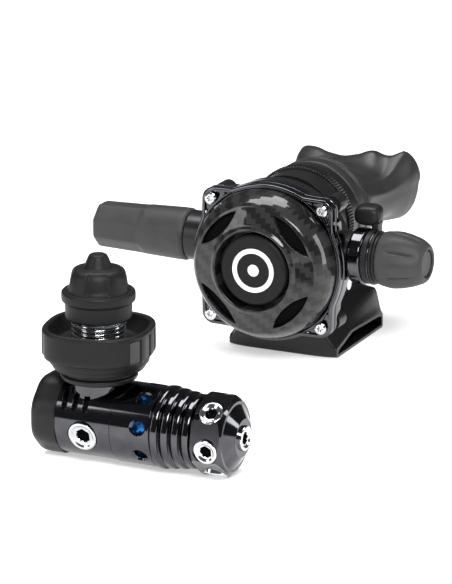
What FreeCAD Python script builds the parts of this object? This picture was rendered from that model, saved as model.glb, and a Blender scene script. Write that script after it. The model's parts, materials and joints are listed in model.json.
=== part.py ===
import FreeCAD, Part
import math
import os

from FreeCAD import Vector

# Scuba regulator set: a second stage standing on its exhaust tee and, in front
# of it, a DIN first stage lying on its barrel.  Millimetres, +Z up.  The origin
# is on the ground, in the middle of the footprint.  X runs along both barrels,
# and -Y is the front of the second stage.

X = Vector(1, 0, 0)
Y = Vector(0, 1, 0)
Z = Vector(0, 0, 1)

# ---- places of the two stages ------------------------------------------------
STAGE2 = Vector(9.8, 45.0, 51.0)      # second stage barrel axis, mid plane
STAGE1 = Vector(0.4, -118.4, 17.6)    # first stage barrel axis under the DIN axis

FIT = 0.05                            # radial clearance of a running fit
GAP = 0.1                             # clearance between faces that only pass

# ---- second stage ------------------------------------------------------------
BOWL_Z = -4.0                         # the bowl's middle, below the barrel axis
BOWL_R = 31.0                         # case bowl
BOWL_WALL = 2.5
BOWL_FRONT = -13.2
BOWL_BACK = 8.4
REAR_R = 24.0                         # case tube towards the mouthpiece
REAR_WALL = 2.5
REAR_Z = 6.8
SEAM_TURN = 65.0                      # keeps the cylinders' seams clear of the bosses
REAR_BACK = 34.0
SPIGOT_HALF_X = 15.0                  # mouthpiece spigot
SPIGOT_HALF_Z = 9.5
SPIGOT_CORNER = 7.0
SPIGOT_WALL = 2.0
SPIGOT_BACK = 50.0
BOSS_LEFT_R = 11.5                    # case bosses around the valve barrel
BOSS_LEFT_X = -44.0
BOSS_RIGHT_R = 10.5
BOSS_RIGHT_X = 43.4
SIDE_BOSS = Vector(0, -1, -14)        # fastener that locks the barrel
SIDE_BOSS_R = 3.2
SIDE_BOSS_X = 32.5
SIDE_SCREW_R = 1.2
SIDE_SCREW_X = 26.2
SIDE_HEAD_R = 2.5
SIDE_HEAD_T = 1.8

FRAME_FRONT = -16.4                   # chromed frame around the cover
FRAME_BACK = -5.0
FRAME_R = 36.5
EAR_HALF = 32.2
EAR_CORNER = 6.0
EAR_BACK = -9.0
SCREW_AT = 27.25
SCREW_SHANK_R = 1.5
SCREW_HEAD_R = 2.8
SCREW_HEAD_T = 1.6
LUG_R = 4.2
LUG_BACK = 3.0
BAND_R = 36.0

COVER_LIP_R = 18.2                    # domed carbon cover
COVER_LIP_Y = -32.0
COVER_WALL = 2.2
COVER_DOME = ((-16.4, 34.0), (-21.0, 33.4), (-25.4, 31.9), (-28.6, 29.5), (-30.4, 26.4), (-31.5, 22.5))
COVER_FLOOR_T = 1.2
VENT_LENGTH = 22.0
VENT_WIDTH = 5.0
VENT_R = 25.2
DRAIN_R = 3.0                         # holes in the floor behind the button
DRAIN_AT = 13.0

BUTTON_R = 16.5                       # purge button
BUTTON_FRONT = -30.8
BUTTON_BACK = -26.0
BUTTON_STEM_R = 4.0

SYMBOL_R = 10.5                       # ring-shaped mark on the button
SYMBOL_INNER_R = 7.8
SYMBOL_T = 0.5

DIAPHRAGM_R = 30.6
DIAPHRAGM_FRONT = -14.2
DIAPHRAGM_T = 0.8
BEAD_T = 1.2
DISC_R = 11.0
DISC_T = 0.9
BUTTON_TRAVEL = 2.5

BARREL_R = 8.1                        # valve barrel, a tube along X
BARREL_BORE = 6.5
BARREL_LEFT = -44.0
BARREL_RIGHT = 51.0
WINDOW_X = (8.0, 15.8)                # opening for the demand lever
OUTLET_X = (-4.0, 7.0)                # opening that the air leaves through
ORIFICE_END = -30.0
ORIFICE_R = 2.0
SEAT_X = -28.5
POPPET_X = -26.5
POPPET_HEAD_R = 4.4
POPPET_R = 2.2
POPPET_TAIL_R = 1.6
POPPET_FLANGE = (13.4, 14.8)
POPPET_END = 19.0
PAD_X = 26.5
PAD_T = 4.0
STEM_R = 3.0                          # adjuster stem
STEM_HEAD_R = 5.6
STEM_X = (32.6, 40.0, 61.0)
STEM_RING = 43.5
NUT_X = (45.3, 50.9)
VANE_R = 9.35                         # venturi sleeve around the valve barrel

LEVER_PIVOT = Vector(12.6, -7.0, 0)   # demand lever
LEVER_REACH = 13.5
LEVER_HALF_Z = 1.8
FORK_T = 1.2
LEVER_T = 0.85
LEVER_TIP_R = 0.8
PIVOT_R = 0.9

COLLAR_R = 12.8
COLLAR_LEFT = 37.0
LEVER_RIGHT = 46.5                    # venturi lever
LEVER_TOP = 21.6
TAB_LEFT = 38.0
TAB_FRONT = 1.5
TAB_BACK = 9.0
TAB_LOW = 14.2
VANE_LEFT = 16.0
WASHER_R = 12.1
WASHER_X = 48.4
KNOB_LEFT = 50.1
KNOB_RIGHT = 72.0
KNOB_R = 12.8
KNOB_END_R = 8.6
KNOB_HOLLOW = 53.0
KNOB_DISC_R = 5.6
KNOB_DISC_DEPTH = 1.2

PROTECTOR_FREE = -91.6                # hose protector, a rubber sleeve
PROTECTOR_CASE = -44.8
PROTECTOR_FREE_R = 10.8
PROTECTOR_CASE_R = 12.1
HOSE_R = 6.0                          # hose socket in the ferrule
HOSE_BORE = 3.0
FITTING_X = -56.0
NUT_LEFT = -66.0
NUT_ACROSS = 15.0
FERRULE_R = 8.5
FERRULE_LEFT = -91.0

TEE_HALF = 27.0                       # exhaust tee
TEE_FRONT = 0.0
TEE_BACK = 59.0
TEE_BOTTOM = -51.0
TEE_DUCT_TOP = -44.0
TEE_NECK_TOP = -36.5
TEE_RIDGE_HALF = 25.0                 # hood that rises towards the back
TEE_RIDGE_FRONT = Vector(0, 12, -40.5)
TEE_RIDGE_BACK = Vector(0, 55, -33.5)
TEE_WALL = 1.4
PORT_HALF_X = 14.5                    # exhaust port under the case
PORT_FRONT = 2.0
PORT_BACK = 27.0
PORT_WALL = 2.0
VALVE_SEAT_Z = 1.8                    # above the neck's top
VALVE_SEAT_T = 1.4
FLAP_R = 9.8
WINDOW_R = 2.9
WINDOW_AT = 5.4
STALK_R = 0.8

MOUTH_NECK_R = 23.6                   # mouthpiece, round at the case and flat at the bite
MOUTH_NECK_BACK = 46.0
CLAMP_FRONT = 38.5
CLAMP_BACK = 41.5
CLAMP_R = 24.4
CLAMP_GROOVE_R = 22.6
MOUTH_FLANGE_Y = 80.0
MOUTH_FLANGE_T = 3.5
MOUTH_END = 95.0
MOUTH_HALF_X = 31.0
MOUTH_HALF_Z = 16.0
MOUTH_Z = 9.0
THROAT_HALF_X = 26.0
THROAT_HALF_Z = 13.0
BORE_HALF_X = 13.5
BORE_HALF_Z = 8.5
BITE_AT = 19.5

# ---- first stage -------------------------------------------------------------
BODY_R = 16.6                         # barrel
BODY_LEFT = -24.2
PISTON_R = 4.0
PISTON_BORE = 1.6
PISTON_LEFT = -6.4
PISTON_HEAD = (31.4, 36.5)
PISTON_HEAD_R = 12.3
SEAT_CHAMBER_R = 6.0
SEAT_CHAMBER_X = -7.9
HIGH_SEAT = (-10.2, -8.4)
RETAINER_LEFT = -21.8
SLEEVE_OUTER = 13.4
SLEEVE_INNER = 12.0
SPRING_R = 9.2
SPRING_WIRE = 1.3
SLOT_PLACES = (-9.0, -4.2, 0.6)       # three slots above and below the port
SLOT_HALF_X = 1.3
SLOT_HALF_Z = 5.2
SLOT_TOP = -17.4
SLOT_FLOOR = -14.6
SLOT_TILT = 41.0
SPRING_SEAT_X = 8.0
CHAMBER_BORE = 13.5
INLET_LOW = 12.5                      # DIN inlet, along Z
INLET_BOSS_R = 8.95
INLET_BORE = 3.0
INLET_R = 6.1
INLET_FACE = 45.6
INLET_FACE_R = 8.2
INLET_FACE_LOW = 42.2
FILTER_SEAT_Z = 38.0
GUARD_R = 17.3
GUARD_RIGHT = -12.6
CHAMBER_LEFT = 12.5
CHAMBER_RIGHT = 30.9
CHAMBER_R = 17.0
WATER_HOLE_X = 25.5
WATER_HOLE_R = 2.75
WATER_HOLES = 8
PISTON_TRAVEL = 1.5
RIB_RIGHT = 48.9
RIB_R = 17.6
RIB_END_R = 15.7
RIB_DEPTH = 1.6
RIBS = 4
TURRET_LEFT = 49.0
TURRET_RIGHT = 62.5
TURRET_APOTHEM = 15.5
TURRET_CORNER_R = 17.2
TURRET_NOSE_R = 8.0
TURRET_NOSE_X = 66.0
BUSHING_BORE = 5.0
BUSHING_STEP = 50.0
BUSHING_STEP_R = 10.35
PORT_X = 56.0
OPEN_PORT_X = 54.6
AXIAL_PLUG_X = 67.4
LOW_PORT_R = 4.76                     # 3/8-24 UNF
LOW_HEAD_R = 5.25
LOW_REACH = 16.5
LOW_PLUG_ANGLES = (50.0, -10.0, -70.0)
LOW_OPEN_ANGLE = -130.0
HEAD_T = 2.2                          # plug head
RING_WIRE = 0.55
HIGH_PORT_R = 5.56                    # 7/16-20 UNF
HIGH_HEAD_R = 6.4
HIGH_PORT_X = 0.0
HIGH_PORT_TILT = -14.0
HIGH_REACH = 16.8
BOSS_R = 12.3                         # DIN boss on the body
BOSS_TOP = 22.0

DIN_THREAD_R = 11.45                  # G5/8 male thread, 14 turns per inch
DIN_PITCH = 1.814
DIN_TOP = 46.0
DIN_SLEEVE_BORE = 6.2
WHEEL_LOW_R = 21.0
WHEEL_LOW_Z = 22.2
WHEEL_Z = 26.4
WHEEL_TOP = 40.2
WHEEL_HALF = 21.6
WHEEL_CORNER = 12.0
WHEEL_DISH_R = 16.0
WHEEL_DISH_Z = 34.0
WHEEL_HUB_R = 10.0
PAD_HALF = 2.4                        # rubber pads around the wheel
PAD_HALF_Z = 4.6
PAD_Z = 33.4
PAD_DEPTH = 0.9

CAP_SKIRT_R = 13.8
CAP_SKIRT_Z = 43.2
CAP_FLANGE_R = 15.4
CAP_FLANGE_Z = 50.6
CAP_GRIP_Z = 55.2
CAP_GRIP_R = 13.3
CAP_GROOVE_R = 1.1
CAP_SHOULDER_Z = 64.0
CAP_SHOULDER_R = 9.8
CAP_TOP = 70.4


# ---- helpers -----------------------------------------------------------------
def side_of(axis):
    """A direction square to a main axis."""
    return Y if abs(axis.x) > 0.5 else X


def turned(outline, at, axis=X):
    """Solid of revolution; outline holds (distance along the axis, radius)."""
    side = side_of(axis)
    points = [at + axis * along + side * radius for along, radius in outline]
    return Part.Face(Part.makePolygon(points + points[:1])).revolve(at, axis, 360)


def rod(start, end, radius, at, axis=X):
    """Cylinder between two distances along an axis."""
    return Part.makeCylinder(radius, end - start, at + axis * start, axis)


def tube(start, end, outer, inner, at, axis=X):
    """Cylinder with a bore."""
    return rod(start, end, outer, at, axis).cut(rod(start - 1, end + 1, inner, at, axis))


def block(low, high, at):
    """Box between two corners."""
    size = high - low
    return Part.makeBox(size.x, size.y, size.z, at + low)


def rounded_block(half_a, half_b, corner, start, end, at, axis=Y):
    """Rounded rectangle pushed along Y (sides X and Z) or along Z (sides X and Y)."""
    other = Z if abs(axis.y) > 0.5 else Y
    arcs = []
    for turn in range(4):
        way_a = (1, -1, -1, 1)[turn]
        way_b = (1, 1, -1, -1)[turn]
        centre = X * (way_a * (half_a - corner)) + other * (way_b * (half_b - corner))
        ends = [X * (way_a * corner), other * (way_b * corner)]
        if turn % 2:
            ends.reverse()
        middle = (ends[0] + ends[1]) * math.sqrt(0.5)
        arcs.append([at + axis * start + centre + step for step in (ends[0], middle, ends[1])])
    edges = []
    for turn, arc in enumerate(arcs):
        edges.append(Part.Arc(*arc).toShape())
        following = arcs[(turn + 1) % 4][0]
        if arc[2].distanceToPoint(following) > 0.001:
            edges.append(Part.LineSegment(arc[2], following).toShape())
    return Part.Face(Part.Wire(edges)).extrude(axis * (end - start))


def joined(shapes):
    """One solid out of overlapping solids."""
    result = shapes[0]
    for shape in shapes[1:]:
        result = result.fuse(shape)
    return result.removeSplitter()


def without(shape, cutters):
    """The shape with each cutter taken away."""
    for cutter in cutters:
        shape = shape.cut(cutter)
    return shape


def spring(start, end, coil_r, wire_r, turns, at, axis):
    """Helical wire spring between two distances along an axis."""
    height = end - start - 2 * wire_r
    helix = Part.makeHelix(height / turns, height, coil_r)
    circle = Part.Wire(Part.makeCircle(wire_r, Vector(coil_r, 0, 0), Y))
    wire = Part.Wire(helix.Edges).makePipeShell([circle], True, True)
    wire.Placement = FreeCAD.Placement(at + axis * (start + wire_r), FreeCAD.Rotation(Z, axis))
    return wire


def prism(sides, across, start, end, at, axis=X):
    """Regular prism, measured across its flats."""
    side = side_of(axis)
    other = axis.cross(side)
    corner = across / 2 / math.cos(math.pi / sides)
    points = []
    for step in range(sides):
        angle = 2 * math.pi * (step + 0.5) / sides
        way = side * (corner * math.cos(angle)) + other * (corner * math.sin(angle))
        points.append(at + axis * start + way)
    return Part.Face(Part.makePolygon(points + points[:1])).extrude(axis * (end - start))


def ring(radius, wire_r, along, at, axis=X):
    """O-ring around an axis."""
    return Part.makeTorus(radius, wire_r, at + axis * along, axis)


NODES = {}


# ---- second stage ------------------------------------------------------------
def corners():
    """The four screw positions, as signs along X and Z."""
    return [(1, 1), (1, -1), (-1, -1), (-1, 1)]


def lug_places(at):
    """Middle of each cover screw, with the signs of its corner."""
    places = []
    for way_x, way_z in corners():
        places.append((at + Vector(way_x * SCREW_AT, 0, way_z * SCREW_AT), way_x, way_z))
    return places


def case_outside(at, front, rear):
    """Everything that the case is made of, before it is hollowed."""
    bowl = rod(BOWL_FRONT, BOWL_BACK + BOWL_WALL, BOWL_R, front, Y)
    bowl.rotate(front, Y, SEAM_TURN)
    rear_tube = rod(BOWL_BACK, REAR_BACK, REAR_R, rear, Y)
    rear_tube.rotate(rear, Y, SEAM_TURN)
    outer = [bowl, rear_tube]
    outer.append(rod(BOSS_LEFT_X, 0, BOSS_LEFT_R, at))
    outer.append(rod(0, BOSS_RIGHT_X, BOSS_RIGHT_R, at))
    outer.append(rounded_block(SPIGOT_HALF_X, SPIGOT_HALF_Z, SPIGOT_CORNER,
                               REAR_BACK - 4, SPIGOT_BACK, rear))
    outer.append(block(Vector(-PORT_HALF_X, PORT_FRONT, TEE_NECK_TOP),
                       Vector(PORT_HALF_X, PORT_BACK, -8), at))
    outer.append(rod(20, SIDE_BOSS_X, SIDE_BOSS_R, at + SIDE_BOSS))
    for lug, way_x, way_z in lug_places(front):
        web = lug - Vector(way_x * 5, 0, way_z * 5)
        outer.append(rod(FRAME_BACK, LUG_BACK, LUG_R, lug, Y))
        outer.append(rod(FRAME_BACK, LUG_BACK, LUG_R - 0.6, web, Y))
    return joined(outer)


def make_case():
    at = STAGE2
    front = at + Z * BOWL_Z
    rear = at + Z * REAR_Z
    bowl_space = rod(BOWL_FRONT - 1, BOWL_BACK, BOWL_R - BOWL_WALL, front, Y)
    bowl_space.rotate(front, Y, SEAM_TURN)
    rear_space = rod(BOWL_BACK - 1, REAR_BACK - 3, REAR_R - REAR_WALL, rear, Y)
    rear_space.rotate(rear, Y, SEAM_TURN)
    inner = [bowl_space, rear_space]
    inner.append(rounded_block(SPIGOT_HALF_X - SPIGOT_WALL, SPIGOT_HALF_Z - SPIGOT_WALL,
                               SPIGOT_CORNER - SPIGOT_WALL, REAR_BACK - 5, SPIGOT_BACK + 1,
                               rear))
    inner.append(rod(BOSS_LEFT_X - 1, 0, BARREL_R + FIT, at))
    inner.append(rod(0, BOSS_RIGHT_X + 1, VANE_R + FIT, at))
    inner.append(block(Vector(-PORT_HALF_X + PORT_WALL, PORT_FRONT + PORT_WALL, TEE_NECK_TOP - 1),
                       Vector(PORT_HALF_X - PORT_WALL, PORT_BACK - PORT_WALL, -6), at))
    inner.append(rod(SIDE_SCREW_X - 0.2, SIDE_BOSS_X + 1, SIDE_SCREW_R, at + SIDE_BOSS))
    for lug, way_x, way_z in lug_places(front):
        inner.append(rod(FRAME_BACK - 1, 0.2, SCREW_SHANK_R, lug, Y))
    NODES["case_body"] = without(case_outside(at, front, rear), inner)
    head = rod(SIDE_BOSS_X, SIDE_BOSS_X + SIDE_HEAD_T, SIDE_HEAD_R, at + SIDE_BOSS)
    shank = rod(SIDE_SCREW_X, SIDE_BOSS_X + 0.5, SIDE_SCREW_R, at + SIDE_BOSS)
    NODES["side_lock_screw"] = joined([head, shank])


def make_frame():
    at = STAGE2
    front = at + Z * BOWL_Z
    plate = rod(FRAME_FRONT, FRAME_BACK, FRAME_R, front, Y)
    ears = rounded_block(EAR_HALF, EAR_HALF, EAR_CORNER, FRAME_FRONT, EAR_BACK, front)
    cutters = [rod(FRAME_FRONT - 1, FRAME_BACK + 1, BOWL_R + FIT, front, Y)]
    cutters.append(rod(BOSS_LEFT_X, -20, BOSS_LEFT_R + 0.2, at))
    cutters.append(rod(20, BOSS_RIGHT_X, BOSS_RIGHT_R + 0.2, at))
    for ear, way_x, way_z in lug_places(front):
        ears = ears.fuse(rod(EAR_BACK, FRAME_BACK, LUG_R, ear, Y))
        cutters.append(rod(FRAME_FRONT - 1, FRAME_BACK + 1, SCREW_SHANK_R + FIT, ear, Y))
    NODES["front_frame"] = without(joined([plate, ears]), cutters)

    band = tube(FRAME_BACK + GAP, 0, BAND_R, BOWL_R + FIT, front, Y)
    arcs = []
    for way in (1, -1):
        corner_a = Vector(way * 45, -20, way * 62)
        corner_b = Vector(-way * 45, -20, way * 62)
        points = [front + place for place in (Vector(0, -20, 0), corner_a, corner_b)]
        wedge = Part.Face(Part.makePolygon(points + points[:1]))
        arcs.append(band.common(wedge.extrude(Y * 40)))
    NODES["grip_bands"] = arcs
    NODES["cover_screws"] = [cover_screw(ear) for ear, way_x, way_z in lug_places(front)]


def cover_screw(at):
    """Screw with a low head and a six-lobed recess."""
    top = FRAME_FRONT - SCREW_HEAD_T
    head = turned([(FRAME_FRONT, 0), (FRAME_FRONT, SCREW_HEAD_R), (top + 0.5, SCREW_HEAD_R),
                   (top, SCREW_HEAD_R - 0.8), (top, 0)], at, Y)
    screw = joined([head, rod(top + 1, 0, SCREW_SHANK_R, at, Y)])
    for star in range(3):
        slot = rounded_block(1.5, 0.35, 0.3, top - 0.4, top + 1, Vector(0, 0, 0))
        slot.rotate(Vector(0, 0, 0), Y, 60 * star)
        slot.translate(at)
        screw = screw.cut(slot)
    return screw


def cover_section(inset):
    """Dome section of the cover as (distance along Y, radius)."""
    outline = [(min(along + inset, FRAME_FRONT), radius - inset) for along, radius in COVER_DOME]
    return outline + [(COVER_LIP_Y + inset, COVER_LIP_R), (FRAME_FRONT, COVER_LIP_R)]


def make_cover():
    at = STAGE2 + Z * BOWL_Z
    shell = turned(cover_section(0), at, Y).cut(turned(cover_section(COVER_WALL), at, Y))
    lip = tube(COVER_LIP_Y, FRAME_FRONT, COVER_LIP_R + 1.6, COVER_LIP_R, at, Y)
    floor_front = FRAME_FRONT - COVER_FLOOR_T
    floor = tube(floor_front, FRAME_FRONT, COVER_LIP_R + 1.0, BUTTON_STEM_R + 1, at, Y)
    cutters = []
    for turn in range(4):
        vent = rounded_block(VENT_LENGTH / 2, VENT_WIDTH / 2, VENT_WIDTH / 2 - 0.1,
                             COVER_LIP_Y - 2, FRAME_FRONT - 2, Vector(0, 0, VENT_R))
        vent.rotate(Vector(0, 0, 0), Y, 45 + 90 * turn)
        vent.translate(at)
        cutters.append(vent)
    for turn in range(6):
        hole = rod(floor_front - 1, FRAME_FRONT + 1, DRAIN_R, at + X * DRAIN_AT, Y)
        hole.rotate(at, Y, 60 * turn)
        cutters.append(hole)
    NODES["carbon_cover"] = without(joined([shell, lip, floor]), cutters)

    button = turned([(BUTTON_FRONT, 0), (BUTTON_FRONT, BUTTON_R - 1.4), (BUTTON_FRONT + 1.2, BUTTON_R),
                     (BUTTON_BACK, BUTTON_R), (BUTTON_BACK, BUTTON_STEM_R),
                     (DIAPHRAGM_FRONT - GAP, BUTTON_STEM_R), (DIAPHRAGM_FRONT - GAP, 0)], at, Y)
    symbol = tube(BUTTON_FRONT, BUTTON_FRONT + SYMBOL_T, SYMBOL_R, SYMBOL_INNER_R, at, Y)
    NODES["purge_button"] = button.cut(symbol)
    NODES["purge_symbol"] = symbol
    NODES["purge_spring"] = spring(BUTTON_BACK, floor_front, 7.0, 0.35, 5, at, Y)


def make_diaphragm():
    at = STAGE2 + Z * BOWL_Z
    front = DIAPHRAGM_FRONT
    bead_r = BOWL_R - BOWL_WALL + 0.5
    membrane = front + DIAPHRAGM_T
    outline = [(BOWL_FRONT, DIAPHRAGM_R), (front, DIAPHRAGM_R), (front, 0), (membrane, 0),
               (membrane, bead_r), (BOWL_FRONT, bead_r)]
    NODES["diaphragm"] = turned(outline, at, Y)
    NODES["diaphragm_disc"] = rod(membrane, membrane + DISC_T, DISC_R, at, Y)
    NODES["diaphragm_ring"] = tube(front - BEAD_T, front, DIAPHRAGM_R, BOWL_R - BOWL_WALL, at, Y)


def make_valve():
    at = STAGE2
    barrel = tube(BARREL_LEFT, BARREL_RIGHT, BARREL_R, BARREL_BORE, at)
    window = block(Vector(WINDOW_X[0], -12, -5), Vector(WINDOW_X[1], 0, 5), at)
    outlet = block(Vector(OUTLET_X[0], 2, -3), Vector(OUTLET_X[1], 12, 9), at)
    NODES["valve_barrel"] = without(barrel, [window, outlet])
    seat_lip = turned([(ORIFICE_END - 0.1, ORIFICE_R), (ORIFICE_END - 0.1, 4.2), (SEAT_X, 2.6),
                       (SEAT_X, ORIFICE_R)], at)
    inlet = tube(BARREL_LEFT + GAP, ORIFICE_END, BARREL_BORE - FIT, ORIFICE_R, at)
    NODES["orifice"] = joined([inlet, seat_lip])
    NODES["poppet_seat"] = rod(SEAT_X, POPPET_X, 3.4, at)
    flange_start, flange_end = POPPET_FLANGE
    head = rod(POPPET_X, POPPET_X + 4.5, POPPET_HEAD_R, at)
    shank = rod(POPPET_X + 4.0, flange_start + 0.1, POPPET_R, at)
    flange = rod(flange_start, flange_end, POPPET_HEAD_R, at)
    tail = rod(flange_end - 0.1, POPPET_END, POPPET_TAIL_R, at)
    NODES["poppet"] = joined([head, shank, flange, tail])
    NODES["poppet_spring"] = spring(flange_end, PAD_X, 4.6, 0.5, 5, at, X)
    NODES["spring_pad"] = rod(PAD_X, PAD_X + PAD_T, BARREL_BORE - FIT, at)
    NODES["stem_oring"] = ring((STEM_R + BARREL_BORE) / 2, 1.7, STEM_RING, at)
    NODES["barrel_end_nut"] = tube(NUT_X[0], NUT_X[1], BARREL_BORE, STEM_R + FIT, at)


def make_demand_lever():
    """Fork inside the barrel window, with an arm out to the diaphragm.

    With the button pressed the arm lies flat behind the diaphragm's disc, so
    at rest it slopes by the angle that the lever turns through.
    """
    at = STAGE2
    pivot = at + LEVER_PIVOT
    disc_back = DIAPHRAGM_FRONT + DIAPHRAGM_T + DISC_T
    left = LEVER_PIVOT.x - FORK_T / 2
    right = LEVER_PIVOT.x + FORK_T / 2
    fork = block(Vector(left, -6.2, -4.2), Vector(right, -1.5, 4.2), at)
    fork = fork.common(rod(left - 1, right + 1, BARREL_BORE - 0.2, at))
    fork = fork.cut(block(Vector(left - 1, -3.6, -2.6), Vector(right + 1, 0, 2.6), at))
    neck = block(Vector(left, -9.4, -LEVER_HALF_Z), Vector(right, -6.0, LEVER_HALF_Z), at)
    pin = rod(-LEVER_HALF_Z - 1, LEVER_HALF_Z + 1, PIVOT_R, pivot, Z)
    flat = disc_back + BUTTON_TRAVEL + GAP
    arm = block(Vector(LEVER_PIVOT.x - LEVER_REACH, flat, -LEVER_HALF_Z),
                Vector(LEVER_PIVOT.x + 0.4, flat + LEVER_T, LEVER_HALF_Z), at)
    arm.rotate(pivot, Z, math.degrees(BUTTON_TRAVEL / LEVER_REACH))
    tip_place = at + Vector(LEVER_PIVOT.x - LEVER_REACH, disc_back + LEVER_TIP_R, 0)
    tip = rod(-LEVER_HALF_Z, LEVER_HALF_Z, LEVER_TIP_R, tip_place, Z)
    NODES["demand_lever"] = joined([fork, neck, pin, arm, tip])


def make_venturi():
    at = STAGE2
    sleeve = tube(VANE_LEFT, BOSS_RIGHT_X, VANE_R, BARREL_R + FIT, at)
    shield = tube(0.5, VANE_LEFT + 1, VANE_R, BARREL_R + FIT, at)
    shield = shield.common(block(Vector(0, 5, -12), Vector(18, 12, 12), at))
    NODES["venturi_vane"] = joined([sleeve, shield])
    lever_ring = tube(BOSS_RIGHT_X, LEVER_RIGHT, WASHER_R + 0.2, BARREL_R + FIT, at)
    post = block(Vector(BOSS_RIGHT_X, TAB_FRONT, 8), Vector(LEVER_RIGHT, TAB_BACK, LEVER_TOP - 1.5), at)
    tab = block(Vector(TAB_LEFT, TAB_FRONT, TAB_LOW), Vector(LEVER_RIGHT, TAB_BACK, LEVER_TOP), at)
    tab = tab.makeFillet(1.6, tab.Edges)
    lever = joined([lever_ring, post.common(rod(TAB_LEFT, LEVER_RIGHT + 1, LEVER_TOP, at)), tab])
    NODES["venturi_lever"] = lever.cut(rod(TAB_LEFT, BOSS_RIGHT_X, COLLAR_R + 0.6, at))


def make_adjuster():
    at = STAGE2
    collar = turned([(COLLAR_LEFT, BOSS_RIGHT_R), (BOSS_RIGHT_X, BOSS_RIGHT_R),
                     (BOSS_RIGHT_X, COLLAR_R - 0.8), (BOSS_RIGHT_X - 0.8, COLLAR_R),
                     (COLLAR_LEFT + 1.2, COLLAR_R), (COLLAR_LEFT, COLLAR_R - 0.8)], at)
    NODES["barrel_collar"] = collar
    NODES["barrel_washers"] = [tube(LEVER_RIGHT + GAP, WASHER_X - GAP, WASHER_R, BARREL_R, at),
                               tube(WASHER_X, KNOB_LEFT - GAP, WASHER_R - 0.4, BARREL_R, at)]
    stem_end = STEM_X[2]
    disc_back = KNOB_RIGHT - KNOB_DISC_DEPTH
    outline = [(KNOB_LEFT, 8.4), (KNOB_LEFT, KNOB_R - 0.8), (KNOB_LEFT + 1.5, KNOB_R),
               (stem_end, KNOB_R - 0.6), (KNOB_RIGHT - 2, KNOB_END_R + 0.8),
               (KNOB_RIGHT, KNOB_END_R - 1.2), (KNOB_RIGHT, KNOB_DISC_R), (disc_back, KNOB_DISC_R),
               (disc_back, 0), (stem_end, 0), (stem_end, STEM_R), (KNOB_HOLLOW, STEM_R),
               (KNOB_HOLLOW, 8.4)]
    knob = turned(outline, at)
    grooves = []
    for turn in range(6):
        groove = rod(KNOB_LEFT - 1, KNOB_RIGHT, 1.4, at + Z * (KNOB_R + 0.7))
        groove.rotate(at, X, 60 * turn + 30)
        grooves.append(groove)
    NODES["adjustment_knob"] = without(knob, grooves)
    NODES["adjuster_stem"] = joined([rod(STEM_X[0], STEM_X[1], STEM_HEAD_R, at),
                                     rod(STEM_X[1], stem_end, STEM_R, at)])
    NODES["knob_disc"] = rod(disc_back, KNOB_RIGHT - 0.4, KNOB_DISC_R, at)


def make_mouthpiece():
    at = STAGE2 + Z * REAR_Z
    high = STAGE2 + Z * MOUTH_Z
    neck = rod(REAR_BACK + GAP, MOUTH_NECK_BACK, MOUTH_NECK_R, at, Y)
    neck = neck.cut(tube(CLAMP_FRONT, CLAMP_BACK, MOUTH_NECK_R + 1, CLAMP_GROOVE_R, at, Y))
    throat = rounded_block(THROAT_HALF_X, THROAT_HALF_Z, 11, MOUTH_NECK_BACK - 1, MOUTH_FLANGE_Y + 1, high)
    flange = rounded_block(MOUTH_HALF_X, MOUTH_HALF_Z, 13, MOUTH_FLANGE_Y,
                           MOUTH_FLANGE_Y + MOUTH_FLANGE_T, high)
    tabs = []
    for way in (1, -1):
        centre = high + X * (way * BITE_AT)
        tabs.append(rounded_block(4.5, 3.5, 2.5, MOUTH_FLANGE_Y + 2, MOUTH_END, centre))
        tabs.append(rounded_block(5.5, 6.0, 2.5, MOUTH_END - 3, MOUTH_END, centre))
    passage = [rounded_block(SPIGOT_HALF_X, SPIGOT_HALF_Z, SPIGOT_CORNER, REAR_BACK, SPIGOT_BACK + 0.2, at)]
    passage.append(rounded_block(BORE_HALF_X, BORE_HALF_Z, 5, SPIGOT_BACK, MOUTH_FLANGE_Y + 6, high))
    NODES["mouthpiece"] = without(joined([neck, throat, flange] + tabs), passage)
    NODES["mouthpiece_clamp"] = tube(CLAMP_FRONT, CLAMP_BACK, CLAMP_R, CLAMP_GROOVE_R, at, Y)


def rectangle(half_x, front, back, z, at):
    """Closed wire in a level plane."""
    points = [Vector(-half_x, front, z), Vector(half_x, front, z), Vector(half_x, back, z),
              Vector(-half_x, back, z)]
    return Part.makePolygon([at + p for p in points + points[:1]])


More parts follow.
